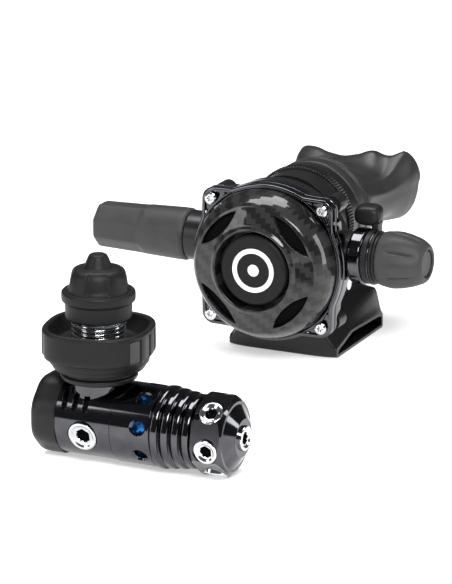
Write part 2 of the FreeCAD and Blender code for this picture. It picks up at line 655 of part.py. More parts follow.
def make_exhaust():
    at = STAGE2
    duct = block(Vector(-TEE_HALF, TEE_FRONT, TEE_BOTTOM), Vector(TEE_HALF, TEE_BACK, TEE_DUCT_TOP), at)
    neck = Part.makeLoft([rectangle(TEE_HALF, TEE_FRONT, TEE_BACK, TEE_DUCT_TOP, at),
                          rectangle(PORT_HALF_X, PORT_FRONT, PORT_BACK, TEE_NECK_TOP, at)], True)
    start = at - X * TEE_RIDGE_HALF
    outline = [start + place for place in (Vector(0, TEE_FRONT + 2, TEE_DUCT_TOP - 1), TEE_RIDGE_FRONT,
                                           TEE_RIDGE_BACK, Vector(0, TEE_BACK - 1, TEE_DUCT_TOP - 1))]
    hood = Part.Face(Part.makePolygon(outline + outline[:1])).extrude(X * (2 * TEE_RIDGE_HALF))
    wall = TEE_WALL
    inside = Part.makeLoft([rectangle(TEE_HALF - 8, TEE_FRONT + 3, TEE_BACK - 6, TEE_DUCT_TOP - 2, at),
                            rectangle(PORT_HALF_X - wall, PORT_FRONT + wall, PORT_BACK - wall,
                                      TEE_NECK_TOP + 0.5, at)], True)
    slot = block(Vector(-TEE_HALF - 1, TEE_FRONT + 2, TEE_BOTTOM + wall),
                 Vector(TEE_HALF + 1, TEE_BACK - 2, TEE_DUCT_TOP - 0.9), at)
    NODES["exhaust_tee"] = without(joined([duct, neck, hood]), [inside, slot])

    middle = at + Vector(0, (PORT_FRONT + PORT_BACK) / 2, TEE_NECK_TOP)
    half_y = (PORT_BACK - PORT_FRONT) / 2 - PORT_WALL
    half_x = PORT_HALF_X - PORT_WALL
    top = VALVE_SEAT_Z + VALVE_SEAT_T
    seat = block(Vector(-half_x, -half_y, VALVE_SEAT_Z), Vector(half_x, half_y, top), middle)
    windows = [rod(0, 4, STALK_R + 0.1, middle, Z)]
    for turn in range(4):
        window = rod(0, 4, WINDOW_R, middle + X * WINDOW_AT, Z)
        window.rotate(middle, Z, 90 * turn + 45)
        windows.append(window)
    NODES["exhaust_valve_seat"] = without(seat, windows)
    flap = rod(VALVE_SEAT_Z - 1, VALVE_SEAT_Z - GAP, FLAP_R, middle, Z)
    stalk = rod(VALVE_SEAT_Z - 0.5, top + 1.4, STALK_R, middle, Z)
    barb = turned([(top + GAP, 0), (top + GAP, 1.6), (top + 1.6, STALK_R), (top + 1.6, 0)], middle, Z)
    NODES["exhaust_valve"] = joined([flap, stalk, barb])


def make_hose_end():
    at = STAGE2
    NODES["inlet_fitting"] = joined([tube(FITTING_X, BOSS_LEFT_X, 7.0, HOSE_BORE, at),
                                     tube(-47.5, BOSS_LEFT_X, 8.6, HOSE_BORE, at)])
    nut = prism(6, NUT_ACROSS, NUT_LEFT, FITTING_X, at)
    NODES["hose_nut"] = nut.cut(rod(NUT_LEFT - 1, FITTING_X + 1, HOSE_BORE, at))
    ferrule_end = NUT_LEFT - GAP
    NODES["hose_ferrule"] = joined([tube(FERRULE_LEFT, ferrule_end, FERRULE_R, HOSE_R, at),
                                    tube(-70, ferrule_end, FERRULE_R, HOSE_BORE, at)])
    grip_r = FERRULE_R + 0.02
    outline = [(PROTECTOR_FREE, 7.4), (PROTECTOR_FREE, PROTECTOR_FREE_R - 1.2),
               (PROTECTOR_FREE + 1.2, PROTECTOR_FREE_R), (PROTECTOR_CASE - 1.0, PROTECTOR_CASE_R),
               (PROTECTOR_CASE, PROTECTOR_CASE_R - 1.0), (PROTECTOR_CASE, 8.9), (ferrule_end, 8.9),
               (ferrule_end, grip_r), (FERRULE_LEFT, grip_r), (FERRULE_LEFT, 7.4)]
    sleeve = turned(outline, at)
    flats = prism(8, 2 * PROTECTOR_FREE_R - 0.8, PROTECTOR_FREE, NUT_LEFT, at)
    core = rod(NUT_LEFT, PROTECTOR_CASE, PROTECTOR_CASE_R + 1, at)
    NODES["hose_protector"] = sleeve.common(joined([core, flats]))


# ---- first stage -------------------------------------------------------------
def radial(angle):
    """Unit direction square to the barrel: 0 is the front, 90 is up."""
    return Vector(0, -math.cos(math.radians(angle)), math.sin(math.radians(angle)))


def socket_plug(head_r, shank_r, reach, length, hex_across, at, axis):
    """Port plug with a head, an O-ring groove under it and a hexagon socket."""
    seat = reach - HEAD_T
    neck = shank_r - RING_WIRE * 2
    outline = [(reach - length, 0), (reach - length, shank_r), (seat - RING_WIRE * 2, shank_r),
               (seat - RING_WIRE * 2, neck), (seat, neck),
               (seat, head_r), (reach - 0.6, head_r), (reach, head_r - 0.9), (reach, 0)]
    plug = turned_any(outline, at, axis)
    socket = prism(6, hex_across, 0, 3.2, Vector(0, 0, 0), Z)
    socket.Placement = FreeCAD.Placement(at + axis * (reach - 3.0), FreeCAD.Rotation(Z, axis))
    return plug.cut(socket)


def plug_ring(shank_r, reach, at, axis):
    """O-ring in the groove of a port plug."""
    torus = Part.makeTorus(shank_r - RING_WIRE, RING_WIRE)
    torus.Placement = FreeCAD.Placement(at + axis * (reach - HEAD_T - RING_WIRE), FreeCAD.Rotation(Z, axis))
    return torus


def turned_any(outline, at, axis):
    """Solid of revolution about any direction."""
    shape = turned(outline, Vector(0, 0, 0), Z)
    shape.Placement = FreeCAD.Placement(at, FreeCAD.Rotation(Z, axis))
    return shape


def port(radius, seat_r, seat_reach, bottom, reach, at, axis):
    """Cutter for a threaded port with a spot face for the plug head."""
    outline = [(bottom, 0), (bottom, radius), (seat_reach, radius), (seat_reach, seat_r),
               (reach, seat_r), (reach, 0)]
    return turned_any(outline, at, axis)


def make_body():
    at = STAGE1
    body = joined([rod(BODY_LEFT, CHAMBER_LEFT, BODY_R, at), rod(0, BOSS_TOP, BOSS_R, at, Z)])
    skirt = tube(BODY_LEFT - 1, GUARD_RIGHT, BODY_R + 1, BODY_R - 1.4, at)
    cutters = [skirt]
    cutters.append(rod(SPRING_SEAT_X, CHAMBER_LEFT + 1, CHAMBER_BORE, at))
    cutters.append(rod(SEAT_CHAMBER_X, SPRING_SEAT_X + 1, PISTON_R + FIT, at))
    cutters.append(rod(BODY_LEFT - 1, SEAT_CHAMBER_X + 0.1, SEAT_CHAMBER_R, at))
    cutters.append(rod(INLET_LOW - 0.1, BOSS_TOP + 1, INLET_BOSS_R + FIT, at, Z))
    cutters.append(rod(0, INLET_LOW + 0.5, INLET_BORE, at, Z))
    for way in (1, -1):
        axis = radial(HIGH_PORT_TILT) if way > 0 else radial(180 - HIGH_PORT_TILT)
        cutters.append(port(HIGH_PORT_R, HIGH_HEAD_R + 0.4, 14.6, 8.6, 30, at + X * HIGH_PORT_X, axis))
    for x_at in SLOT_PLACES:
        for way in (1, -1):
            slot = rounded_block(SLOT_HALF_X, SLOT_HALF_Z, 1.2, SLOT_TOP, SLOT_FLOOR, Vector(0, 0, 0))
            if way < 0:
                slot.rotate(Vector(0, 0, 0), Z, 180)
            slot.translate(at + X * x_at)
            slot.rotate(at, X, -way * SLOT_TILT)
            cutters.append(slot)
    NODES["first_stage_body"] = without(body, cutters)

    guard = turned([(BODY_LEFT - 0.5, 0), (BODY_LEFT - 0.5, GUARD_R - 3), (BODY_LEFT + 1.6, GUARD_R - 0.6),
                    (BODY_LEFT + 4.0, GUARD_R), (GUARD_RIGHT, GUARD_R), (GUARD_RIGHT, BODY_R - 1.35),
                    (BODY_LEFT + 0.02, BODY_R - 1.35), (BODY_LEFT + 0.02, 0)], at)
    NODES["end_guard"] = guard
    NODES["saddle_guard"] = tube(GUARD_R + GAP, BOSS_TOP - GAP, 14.6, BOSS_R + 0.03, at, Z)

    plugs = []
    for axis in (radial(HIGH_PORT_TILT), radial(180 - HIGH_PORT_TILT)):
        place = at + X * HIGH_PORT_X
        plugs.append(socket_plug(HIGH_HEAD_R, HIGH_PORT_R, HIGH_REACH, 8.0, 5.0, place, axis))
    NODES["high_pressure_plugs"] = plugs


def make_seat():
    at = STAGE1
    seat_left, seat_right = HIGH_SEAT
    NODES["seat_retainer"] = joined([rod(RETAINER_LEFT, seat_left - 2, SEAT_CHAMBER_R - 0.02, at),
                                     rod(seat_left - 2, seat_left, 4.6, at)])
    NODES["high_pressure_seat"] = rod(seat_left, seat_right, 3.6, at)


def make_chamber():
    at = STAGE1
    outline = [(CHAMBER_LEFT, CHAMBER_BORE), (CHAMBER_LEFT, CHAMBER_R - 0.5), (CHAMBER_LEFT + 0.5, CHAMBER_R),
               (CHAMBER_RIGHT - 0.5, CHAMBER_R), (CHAMBER_RIGHT, CHAMBER_R - 0.5),
               (CHAMBER_RIGHT, CHAMBER_BORE)]
    chamber = turned(outline, at)
    holes = []
    for turn in range(WATER_HOLES):
        axis = radial(360 / WATER_HOLES * turn + 12)
        place = at + X * WATER_HOLE_X
        holes.append(turned_any([(10, 0), (10, WATER_HOLE_R), (15.9, WATER_HOLE_R),
                                 (17.5, WATER_HOLE_R + 1.4), (17.5, 0)], place, axis))
    NODES["ambient_chamber"] = without(chamber, holes)
    sleeve_end = CHAMBER_RIGHT - PISTON_TRAVEL + 0.3
    NODES["thermal_sleeve"] = tube(CHAMBER_LEFT + 0.2, sleeve_end, SLEEVE_OUTER, SLEEVE_INNER, at)
    NODES["main_spring"] = spring(SPRING_SEAT_X + GAP, 31.0, SPRING_R, SPRING_WIRE, 5, at, X)


def make_piston_housing():
    at = STAGE1
    bore = PISTON_HEAD_R + GAP
    outline = [(CHAMBER_RIGHT, bore), (CHAMBER_RIGHT, RIB_R - RIB_DEPTH)]
    pitch = (RIB_RIGHT - CHAMBER_RIGHT) / RIBS
    for turn in range(RIBS):
        start = CHAMBER_RIGHT + pitch * turn
        crest = RIB_R + (RIB_END_R - RIB_R) * turn / (RIBS - 1)
        outline += [(start + 1.2, crest - RIB_DEPTH), (start + 1.6, crest - 0.3), (start + 2.0, crest),
                    (start + pitch - 0.4, crest), (start + pitch, crest - 0.4),
                    (start + pitch, crest - RIB_DEPTH)]
    outline.append((RIB_RIGHT, bore))
    NODES["piston_housing"] = turned(outline, at)
    head_left, head_right = PISTON_HEAD
    piston = joined([rod(PISTON_LEFT, head_left + 1, PISTON_R, at),
                     rod(head_left, head_right, PISTON_HEAD_R, at)])
    cutters = [rod(PISTON_LEFT - 1, head_right + 1, PISTON_BORE, at)]
    cutters.append(tube(head_left + 1.6, head_right - 1.3, PISTON_HEAD_R + 1, PISTON_HEAD_R - 1.1, at))
    NODES["piston"] = without(piston, cutters)
    NODES["piston_head_oring"] = ring(PISTON_HEAD_R - 0.5, 0.55, head_left + 2.7, at)


def make_turret():
    at = STAGE1
    core = prism(6, 2 * TURRET_APOTHEM, TURRET_LEFT, TURRET_RIGHT, at)
    core.rotate(at, X, LOW_PLUG_ANGLES[0] - 90 + 30)
    barrel = turned([(TURRET_LEFT, 0), (TURRET_LEFT, TURRET_CORNER_R - 1),
                     (TURRET_LEFT + 1, TURRET_CORNER_R), (TURRET_RIGHT - 2, TURRET_CORNER_R),
                     (TURRET_RIGHT, TURRET_CORNER_R - 2.5), (TURRET_RIGHT, 0)], at)
    nose = turned([(TURRET_RIGHT - 1, 0), (TURRET_RIGHT - 1, 13.5), (TURRET_RIGHT, 13.5),
                   (TURRET_NOSE_X, TURRET_NOSE_R), (TURRET_NOSE_X, 0)], at)
    turret = joined([core.common(barrel), nose])
    cutters = [rod(TURRET_LEFT - 1, BUSHING_STEP + 0.1, BUSHING_STEP_R + FIT, at)]
    cutters.append(rod(TURRET_LEFT - 1, 60, 6.0, at))
    cutters.append(rod(59, TURRET_NOSE_X + 1, LOW_PORT_R, at))
    cutters.append(rod(AXIAL_PLUG_X - HEAD_T, TURRET_NOSE_X + 1, LOW_HEAD_R + 0.15, at))
    ports = [(angle, PORT_X) for angle in LOW_PLUG_ANGLES] + [(LOW_OPEN_ANGLE, OPEN_PORT_X)]
    for angle, along in ports:
        place = at + X * along
        cutters.append(port(LOW_PORT_R, LOW_HEAD_R + 0.15, LOW_REACH - HEAD_T, 4.0, 25, place, radial(angle)))
    NODES["turret"] = without(turret, cutters)
    NODES["turret_bushing"] = joined([tube(38.5, RIB_RIGHT, PISTON_HEAD_R + FIT, BUSHING_BORE, at),
                                      tube(RIB_RIGHT - 0.1, BUSHING_STEP, BUSHING_STEP_R, BUSHING_BORE, at)])
    plugs = []
    rings = []
    place = at + X * PORT_X
    ways = [(radial(angle), LOW_REACH) for angle in LOW_PLUG_ANGLES]
    ways.append((X, AXIAL_PLUG_X - PORT_X))
    for way, reach in ways:
        plugs.append(socket_plug(LOW_HEAD_R, LOW_PORT_R, reach, 6.0, 4.0, place, way))
        rings.append(plug_ring(LOW_PORT_R, reach, place, way))
    NODES["low_pressure_plugs"] = plugs
    NODES["low_pressure_orings"] = rings


def make_din():
    at = STAGE1
    filter_r = 4.2
    inlet = turned([(INLET_LOW, INLET_BORE), (INLET_LOW, INLET_BOSS_R), (BOSS_TOP, INLET_BOSS_R),
                    (BOSS_TOP, INLET_R), (INLET_FACE_LOW, INLET_R), (INLET_FACE_LOW, INLET_FACE_R),
                    (INLET_FACE, INLET_FACE_R), (INLET_FACE, filter_r), (FILTER_SEAT_Z, filter_r),
                    (FILTER_SEAT_Z, INLET_BORE)], at, Z)
    groove = tube(INLET_FACE - 1.2, INLET_FACE + 1, 7.4, 5.4, at, Z)
    NODES["din_inlet"] = inlet.cut(groove)
    NODES["din_face_oring"] = ring(6.4, 0.95, INLET_FACE - 0.2, at, Z)
    low = FILTER_SEAT_Z + GAP
    NODES["inlet_filter"] = turned([(low, 0), (low, filter_r - GAP), (low + 1.9, filter_r - GAP),
                                    (INLET_FACE - 0.4, 1.6), (INLET_FACE - 0.4, 0)], at, Z)

    root = DIN_THREAD_R - 1.0
    hub_top = WHEEL_DISH_Z - 2
    outline = [(WHEEL_Z, DIN_SLEEVE_BORE), (WHEEL_Z, WHEEL_HUB_R), (hub_top, WHEEL_HUB_R), (hub_top, root)]
    turn = WHEEL_DISH_Z
    while turn + DIN_PITCH < DIN_TOP:
        outline += [(turn, root), (turn + DIN_PITCH * 0.4, DIN_THREAD_R),
                    (turn + DIN_PITCH * 0.6, DIN_THREAD_R)]
        turn += DIN_PITCH
    seat_z = INLET_FACE_LOW - GAP
    outline += [(turn, root), (DIN_TOP, root), (DIN_TOP, INLET_FACE_R + FIT),
                (seat_z, INLET_FACE_R + FIT), (seat_z, DIN_SLEEVE_BORE)]
    NODES["din_threaded_sleeve"] = turned(outline, at, Z)

    wheel = rounded_block(WHEEL_HALF, WHEEL_HALF, WHEEL_CORNER, WHEEL_Z, WHEEL_TOP, at, Z)
    low = turned([(WHEEL_LOW_Z, 0), (WHEEL_LOW_Z, WHEEL_LOW_R - 0.8), (WHEEL_LOW_Z + 0.8, WHEEL_LOW_R),
                  (WHEEL_Z + 0.1, WHEEL_LOW_R), (WHEEL_Z + 0.1, 0)], at, Z)
    wheel = joined([wheel, low])
    cutters = [rod(WHEEL_LOW_Z - 1, hub_top, WHEEL_HUB_R, at, Z)]
    cutters.append(rod(hub_top, WHEEL_DISH_Z, DIN_THREAD_R, at, Z))
    cutters.append(rod(WHEEL_DISH_Z, WHEEL_TOP + 1, WHEEL_DISH_R, at, Z))
    within = WHEEL_HALF - PAD_DEPTH
    keep = rounded_block(within, within, WHEEL_CORNER - PAD_DEPTH, WHEEL_Z, WHEEL_TOP, at, Z)
    grips = []
    for turn in range(12):
        pad = rounded_block(PAD_HALF, PAD_HALF_Z, 1.2, -40, -within, Vector(0, 0, PAD_Z))
        pad.rotate(Vector(0, 0, 0), Z, 30 * turn + 8)
        pad.translate(at)
        grips.append(pad.cut(keep).common(wheel).Solids[0])
    NODES["wheel_grip_pads"] = grips
    NODES["din_handwheel"] = without(wheel, cutters + grips)


def make_cap():
    at = STAGE1
    outline = [(CAP_SKIRT_Z, DIN_THREAD_R + GAP), (CAP_SKIRT_Z, CAP_SKIRT_R), (CAP_FLANGE_Z, CAP_SKIRT_R),
               (CAP_FLANGE_Z + 0.6, CAP_FLANGE_R), (CAP_GRIP_Z - 1.2, CAP_FLANGE_R),
               (CAP_GRIP_Z, CAP_FLANGE_R - 1.2), (CAP_GRIP_Z, CAP_GRIP_R),
               (CAP_SHOULDER_Z - 2, CAP_SHOULDER_R + 2.1), (CAP_SHOULDER_Z, CAP_SHOULDER_R),
               (CAP_SHOULDER_Z + 0.8, 6.0), (CAP_TOP - 1.2, 3.8), (CAP_TOP, 2.4), (CAP_TOP, 0),
               (DIN_TOP + 0.8, 0), (DIN_TOP + 0.8, DIN_THREAD_R + GAP)]
    cap = turned(outline, at, Z)
    grooves = []
    for turn in range(8):
        groove = rod(CAP_GRIP_Z + 0.2, CAP_SHOULDER_Z + 1, CAP_GROOVE_R, at + Y * CAP_GRIP_R, Z)
        groove.rotate(at, Z, 45 * turn)
        grooves.append(groove)
    NODES["dust_cap"] = without(cap, grooves)


def main():
    make_case()
    make_frame()
    make_cover()
    make_diaphragm()
    make_valve()
    make_demand_lever()
    make_venturi()
    make_adjuster()
    make_mouthpiece()
    make_exhaust()
    make_hose_end()
    make_body()
    make_seat()
    make_chamber()
    make_piston_housing()
    make_turret()
    make_din()
    make_cap()
    os.makedirs("parts", exist_ok=True)
    for name, shape in NODES.items():
        if isinstance(shape, list):
            shape = Part.makeCompound([solid for piece in shape for solid in piece.Solids])
        shape.exportStep("parts/" + name + ".step")


main()
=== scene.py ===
import json
import math

import bmesh
import bpy
from mathutils import Matrix, Vector


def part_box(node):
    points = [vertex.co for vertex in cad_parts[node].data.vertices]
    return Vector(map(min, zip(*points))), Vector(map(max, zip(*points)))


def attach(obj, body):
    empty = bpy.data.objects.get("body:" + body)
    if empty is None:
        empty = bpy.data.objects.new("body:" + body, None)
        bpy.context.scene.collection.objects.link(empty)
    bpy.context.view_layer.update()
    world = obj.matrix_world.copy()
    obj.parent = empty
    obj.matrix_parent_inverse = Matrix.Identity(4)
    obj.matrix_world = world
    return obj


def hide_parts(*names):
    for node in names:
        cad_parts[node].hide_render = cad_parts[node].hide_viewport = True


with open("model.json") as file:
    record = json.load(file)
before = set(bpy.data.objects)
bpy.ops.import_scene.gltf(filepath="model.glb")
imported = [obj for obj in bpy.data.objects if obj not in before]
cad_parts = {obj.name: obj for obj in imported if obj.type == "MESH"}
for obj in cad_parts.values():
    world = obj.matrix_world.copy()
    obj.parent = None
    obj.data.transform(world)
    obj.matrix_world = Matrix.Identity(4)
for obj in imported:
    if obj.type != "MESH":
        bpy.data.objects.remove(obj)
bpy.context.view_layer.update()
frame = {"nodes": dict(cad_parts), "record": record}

MM = 0.001
X = Vector((1, 0, 0))
Y = Vector((0, 1, 0))
Z = Vector((0, 0, 1))
NODES = frame["nodes"]


# ---- places taken from the frame ----
def middle(node):
    low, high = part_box(node)
    return (low + high) / 2


def stage_centres():
    """Barrel centres of both stages and the middle of the front cover, in metres."""
    ring = middle("front_frame")
    barrel = middle("valve_barrel")
    second = Vector((ring.x, barrel.y, barrel.z))
    front = Vector((ring.x, barrel.y, ring.z))
    cap = middle("dust_cap")
    first = Vector((cap.x, cap.y, middle("ambient_chamber").z))
    return second, front, first


SECOND, FRONT, FIRST = stage_centres()


# ---- camera ----
VIEW_AZIMUTH = math.radians(25)
VIEW_HEIGHT = math.radians(16.5)
VIEW_DISTANCE = 1.54
VIEW_TALL = 0.2654545              # height of the view at the second stage
VIEW_LEFT = 0.0250                 # from the second stage to the middle of the view
VIEW_DOWN = 0.0212
SENSOR = 36.0


def view_axes():
    right = Vector((math.cos(VIEW_AZIMUTH), math.sin(VIEW_AZIMUTH), 0))
    out = Vector((math.cos(VIEW_HEIGHT) * math.sin(VIEW_AZIMUTH),
                  -math.cos(VIEW_HEIGHT) * math.cos(VIEW_AZIMUTH), math.sin(VIEW_HEIGHT)))
    return right, out.cross(right), out


def make_camera():
    right, up, out = view_axes()
    target = SECOND - right * VIEW_LEFT - up * VIEW_DOWN
    data = bpy.data.cameras.new("photo_camera")
    data.sensor_width = SENSOR
    data.lens = SENSOR * VIEW_DISTANCE / VIEW_TALL
    data.clip_end = 20
    camera = bpy.data.objects.new("photo_camera", data)
    bpy.context.scene.collection.objects.link(camera)
    turn = Matrix((right, up, out)).transposed()
    camera.matrix_world = Matrix.Translation(target + out * VIEW_DISTANCE) @ turn.to_4x4()
    bpy.context.scene.camera = camera


# ---- light and floor ----
def softbox(name, place, aim, size, power):
    data = bpy.data.lights.new(name, "AREA")
    data.shape = "RECTANGLE"
    data.size, data.size_y = size
    data.energy = power
    lamp = bpy.data.objects.new(name, data)
    bpy.context.scene.collection.objects.link(lamp)
    look = (Vector(place) - Vector(aim)).to_track_quat("Z", "Y")
    lamp.matrix_world = Matrix.Translation(place) @ look.to_matrix().to_4x4()


def make_studio():
    world = bpy.data.worlds.new("studio")
    world.use_nodes = True
    back = world.node_tree.nodes["Background"]
    back.inputs["Color"].default_value = (0.90, 0.93, 0.97, 1)
    back.inputs["Strength"].default_value = 0.10
    bpy.context.scene.world = world
    bpy.context.scene.view_settings.view_transform = "Standard"
    aim = (SECOND + FIRST) / 2
    right, up, out = view_axes()
    level = Vector((out.x, out.y, 0)).normalized()
    softbox("key_box", aim + level * 0.95 + right * 0.05 + Z * 0.78, aim, (0.62, 0.34), 13)
    softbox("top_box", aim - level * 0.35 - right * 0.1 + Z * 1.2, aim, (1.0, 0.55), 15)
    softbox("side_box", aim + right * 1.15 + level * 0.15 + Z * 0.30, aim, (0.22, 0.8), 4)
    softbox("left_box", aim - right * 1.1 + level * 0.55 + Z * 0.45, aim, (0.35, 0.8), 4)

    plate = bmesh.new()
    bmesh.ops.create_grid(plate, x_segments=1, y_segments=1, size=6)
    mesh = bpy.data.meshes.new("floor")
    plate.to_mesh(mesh)
    plate.free()
    floor = bpy.data.objects.new("floor", mesh)
    floor.location.z = -0.0002
    bpy.context.scene.collection.objects.link(floor)
    mat = bpy.data.materials.new("pale_floor")
    mat.use_nodes = True
    shader = mat.node_tree.nodes["Principled BSDF"]
    shader.inputs["Base Color"].default_value = (0.93, 0.93, 0.93, 1)
    shader.inputs["Roughness"].default_value = 0.9
    shader.inputs["Emission Color"].default_value = (1, 1, 1, 1)
    shader.inputs["Emission Strength"].default_value = 0.45
    mesh.materials.append(mat)


make_camera()
make_studio()


# ---- material helpers ----
class Nodes:
    """Short names for building a node material."""

    def __init__(self, name):
        self.material = bpy.data.materials.new(name)
        self.material.use_nodes = True
        self.tree = self.material.node_tree
        self.shader = self.tree.nodes["Principled BSDF"]

    def add(self, kind, **inputs):
        node = self.tree.nodes.new(kind)
        for key, value in inputs.items():
            self.set(node, key.replace("_", " "), value)
        return node

    def set(self, node, key, value):
        socket = node.inputs[int(key)] if key.isdigit() else node.inputs[key]
        if isinstance(value, bpy.types.NodeSocket):
            self.tree.links.new(value, socket)
        else:
            socket.default_value = value

    def math(self, operation, first, second=0.0, third=0.0):
        node = self.tree.nodes.new("ShaderNodeMath")
        node.operation = operation
        for index, value in enumerate((first, second, third)):
            self.set(node, str(index), value)
        return node.outputs[0]

    def mix(self, share, first, second):
        node = self.tree.nodes.new("ShaderNodeMix")
        node.data_type = "RGBA"
        self.set(node, "0", share)
        self.set(node, "6", first)
        self.set(node, "7", second)
        return node.outputs[2]

    def place(self):
        """Object coordinates, in metres."""
        return self.add("ShaderNodeTexCoord").outputs["Object"]

    def noise(self, scale, detail=3.0, roughness=0.55):
        node = self.add("ShaderNodeTexNoise", Scale=scale, Detail=detail, Roughness=roughness)
        self.set(node, "Vector", self.place())
        return node.outputs["Fac"]

    def spread(self, value, low, high, to_low, to_high):
        node = self.add("ShaderNodeMapRange")
        for key, number in zip(("From Min", "From Max", "To Min", "To Max"), (low, high, to_low, to_high)):
            self.set(node, key, number)
        self.set(node, "Value", value)
        return node.outputs["Result"]

    def rounded(self, radius):
        """Normal that rounds sharp edges over a small radius."""
        return self.add("ShaderNodeBevel", Radius=radius * MM).outputs["Normal"]

    def bump(self, height, depth, strength=1.0, normal=None):
        node = self.add("ShaderNodeBump", Strength=strength, Distance=depth * MM, Height=height)
        if normal is not None:
            self.set(node, "Normal", normal)
        return node.outputs["Normal"]

    def edges(self):
        """1 on worn outer edges, 0 elsewhere."""
        point = self.add("ShaderNodeNewGeometry").outputs["Pointiness"]
        return self.spread(point, 0.52, 0.60, 0.0, 1.0)

    def finish(self, **inputs):
        for key, value in inputs.items():
            self.set(self.shader, key.replace("_", " "), value)
        return self.material


def grey(level, tint=(1.0, 1.0, 1.03)):
    return (level * tint[0], level * tint[1], level * tint[2], 1)


def metal(name, colour, rough, smear=0.03, edge=0.12):
    """Polished plating with faint wipe marks in its gloss and fine scratches."""
    n = Nodes(name)
    cloud = n.noise(180.0, 4.0)
    lines = n.add("ShaderNodeTexNoise", Scale=900.0, Detail=2.0)
    stretch = n.add("ShaderNodeMapping")
    n.set(stretch, "Vector", n.place())
    stretch.inputs["Scale"].default_value = (0.05, 1.0, 1.0)
    n.set(lines, "Vector", stretch.outputs[0])
    gloss = n.spread(cloud, 0.3, 0.7, rough, rough + smear)
    darker = tuple(c * 0.82 for c in colour[:3]) + (1,)
    tone = n.mix(n.spread(cloud, 0.35, 0.65, 0, 1), colour, darker)
    normal = n.bump(lines.outputs["Fac"], 0.004, 0.25, n.rounded(edge))
    return n.finish(Base_Color=tone, Metallic=1.0, Roughness=gloss, Normal=normal)


def rubber(name, level, rough, grain, shine, edge=0.3):
    """Moulded rubber: fine spark-eroded grain, cloudy colour and lighter rubbed edges."""
    n = Nodes(name)
    cloud = n.noise(120.0, 5.0)
    fine = n.noise(2600.0, 2.0, 0.7)
    tone = n.mix(n.spread(cloud, 0.35, 0.65, 0, 1), grey(level), grey(level * 1.25))
    tone = n.mix(n.math("MULTIPLY", n.edges(), 0.35), tone, grey(level * 2.2))
    gloss = n.spread(cloud, 0.3, 0.7, rough - 0.04, rough + 0.05)
    normal = n.bump(fine, grain, 0.6, n.rounded(edge))
    return n.finish(Base_Color=tone, Roughness=gloss, Normal=normal, Specular_IOR_Level=shine)


def plastic(name, level, rough, grain=0.012, edge=0.25):
    """Satin moulded plastic with a faint texture."""
    n = Nodes(name)
    cloud = n.noise(60.0, 4.0)
    fine = n.noise(1800.0, 2.0, 0.6)
    tone = n.mix(n.spread(cloud, 0.35, 0.65, 0, 1), grey(level), grey(level * 1.2))
    gloss = n.spread(cloud, 0.3, 0.7, rough - 0.03, rough + 0.05)
    normal = n.bump(fine, grain, 0.5, n.rounded(edge))
    return n.finish(Base_Color=tone, Roughness=gloss, Normal=normal, Specular_IOR_Level=0.32)


TOW = 2.3 * MM
FIBRE_WAVES = 62.8                  # radians of fibre ripple in one tow
TWILL = 4.0                         # tows in one repeat of the weave
PAST_ZERO = 4000.0                  # keeps the tow count positive


def carbon(name):
    """Twill carbon cloth seen along Y, under a thick clear coat."""
    n = Nodes(name)
    turn = n.add("ShaderNodeMapping")
    n.set(turn, "Vector", n.place())
    turn.inputs["Rotation"].default_value = (0, math.radians(8), 0)
    split = n.add("ShaderNodeSeparateXYZ", Vector=turn.outputs[0])
    across = n.math("DIVIDE", split.outputs["X"], TOW)
    along = n.math("DIVIDE", split.outputs["Z"], TOW)
    step = n.math("ADD", n.math("FLOOR", across), n.math("FLOOR", along))
    warp = n.math("LESS_THAN", n.math("MODULO", n.math("ADD", step, PAST_ZERO), TWILL), TWILL / 2)
    fibre_x = n.math("SINE", n.math("MULTIPLY", across, FIBRE_WAVES))
    fibre_z = n.math("SINE", n.math("MULTIPLY", along, FIBRE_WAVES))
    fibre = n.mix(warp, fibre_x, fibre_z)
    crown_x = n.math("ABSOLUTE", n.math("SINE", n.math("MULTIPLY", across, math.pi)))
    crown_z = n.math("ABSOLUTE", n.math("SINE", n.math("MULTIPLY", along, math.pi)))
    crown = n.mix(warp, crown_z, crown_x)
    cloud = n.noise(140.0, 3.0)
    light = n.mix(cloud, grey(0.012), grey(0.030))
    tone = n.mix(warp, grey(0.005), light)
    height = n.math("ADD", n.math("MULTIPLY", crown, 0.7), n.math("MULTIPLY", fibre, 0.12))
    under = n.bump(height, 0.10, 0.5)
    return n.finish(Base_Color=tone, Roughness=0.42, Normal=under, Specular_IOR_Level=0.12,
                    Coat_Weight=0.72, Coat_Roughness=0.02, Coat_Normal=n.rounded(0.5), Coat_IOR=1.5)


METALS = {                          # colour and roughness
    "black_chrome": ((0.088, 0.088, 0.096, 1), 0.07),
    "bright_chrome": ((0.66, 0.67, 0.69, 1), 0.12),
    "brass": ((0.70, 0.52, 0.24, 1), 0.22),
    "blue_sleeve": ((0.02, 0.20, 0.60, 1), 0.25),
    "spring_steel": ((0.60, 0.60, 0.60, 1), 0.25),
    "steel": ((0.62, 0.62, 0.63, 1), 0.22),
    "filter_bronze": ((0.50, 0.38, 0.22, 1), 0.5),
}
PLASTICS = {                        # grey level and roughness
    "black_plastic": (0.010, 0.30),
    "white_mark": (0.86, 0.4),
    "seat_plastic": (0.78, 0.35),
}
RUBBERS = {                         # grey level, roughness, grain in millimetres and shine
    "charcoal_rubber": (0.036, 0.50, 0.09, 0.28),
    "mouth_rubber": (0.020, 0.38, 0.012, 0.36),
    "grey_grip": (0.038, 0.5, 0.03, 0.28),
    "oring_rubber": (0.012, 0.3, 0.005, 0.28),
    "shadow_black": (0.003, 0.8, 0.005, 0.03),
    "membrane": (0.45, 0.35, 0.005, 0.28),
    "cap_rubber": (0.008, 0.46, 0.03, 0.19),
    "guard_rubber": (0.009, 0.40, 0.015, 0.22),
    "button_rubber": (0.008, 0.50, 0.02, 0.18),
}
MATERIALS = {"carbon": carbon("carbon")}
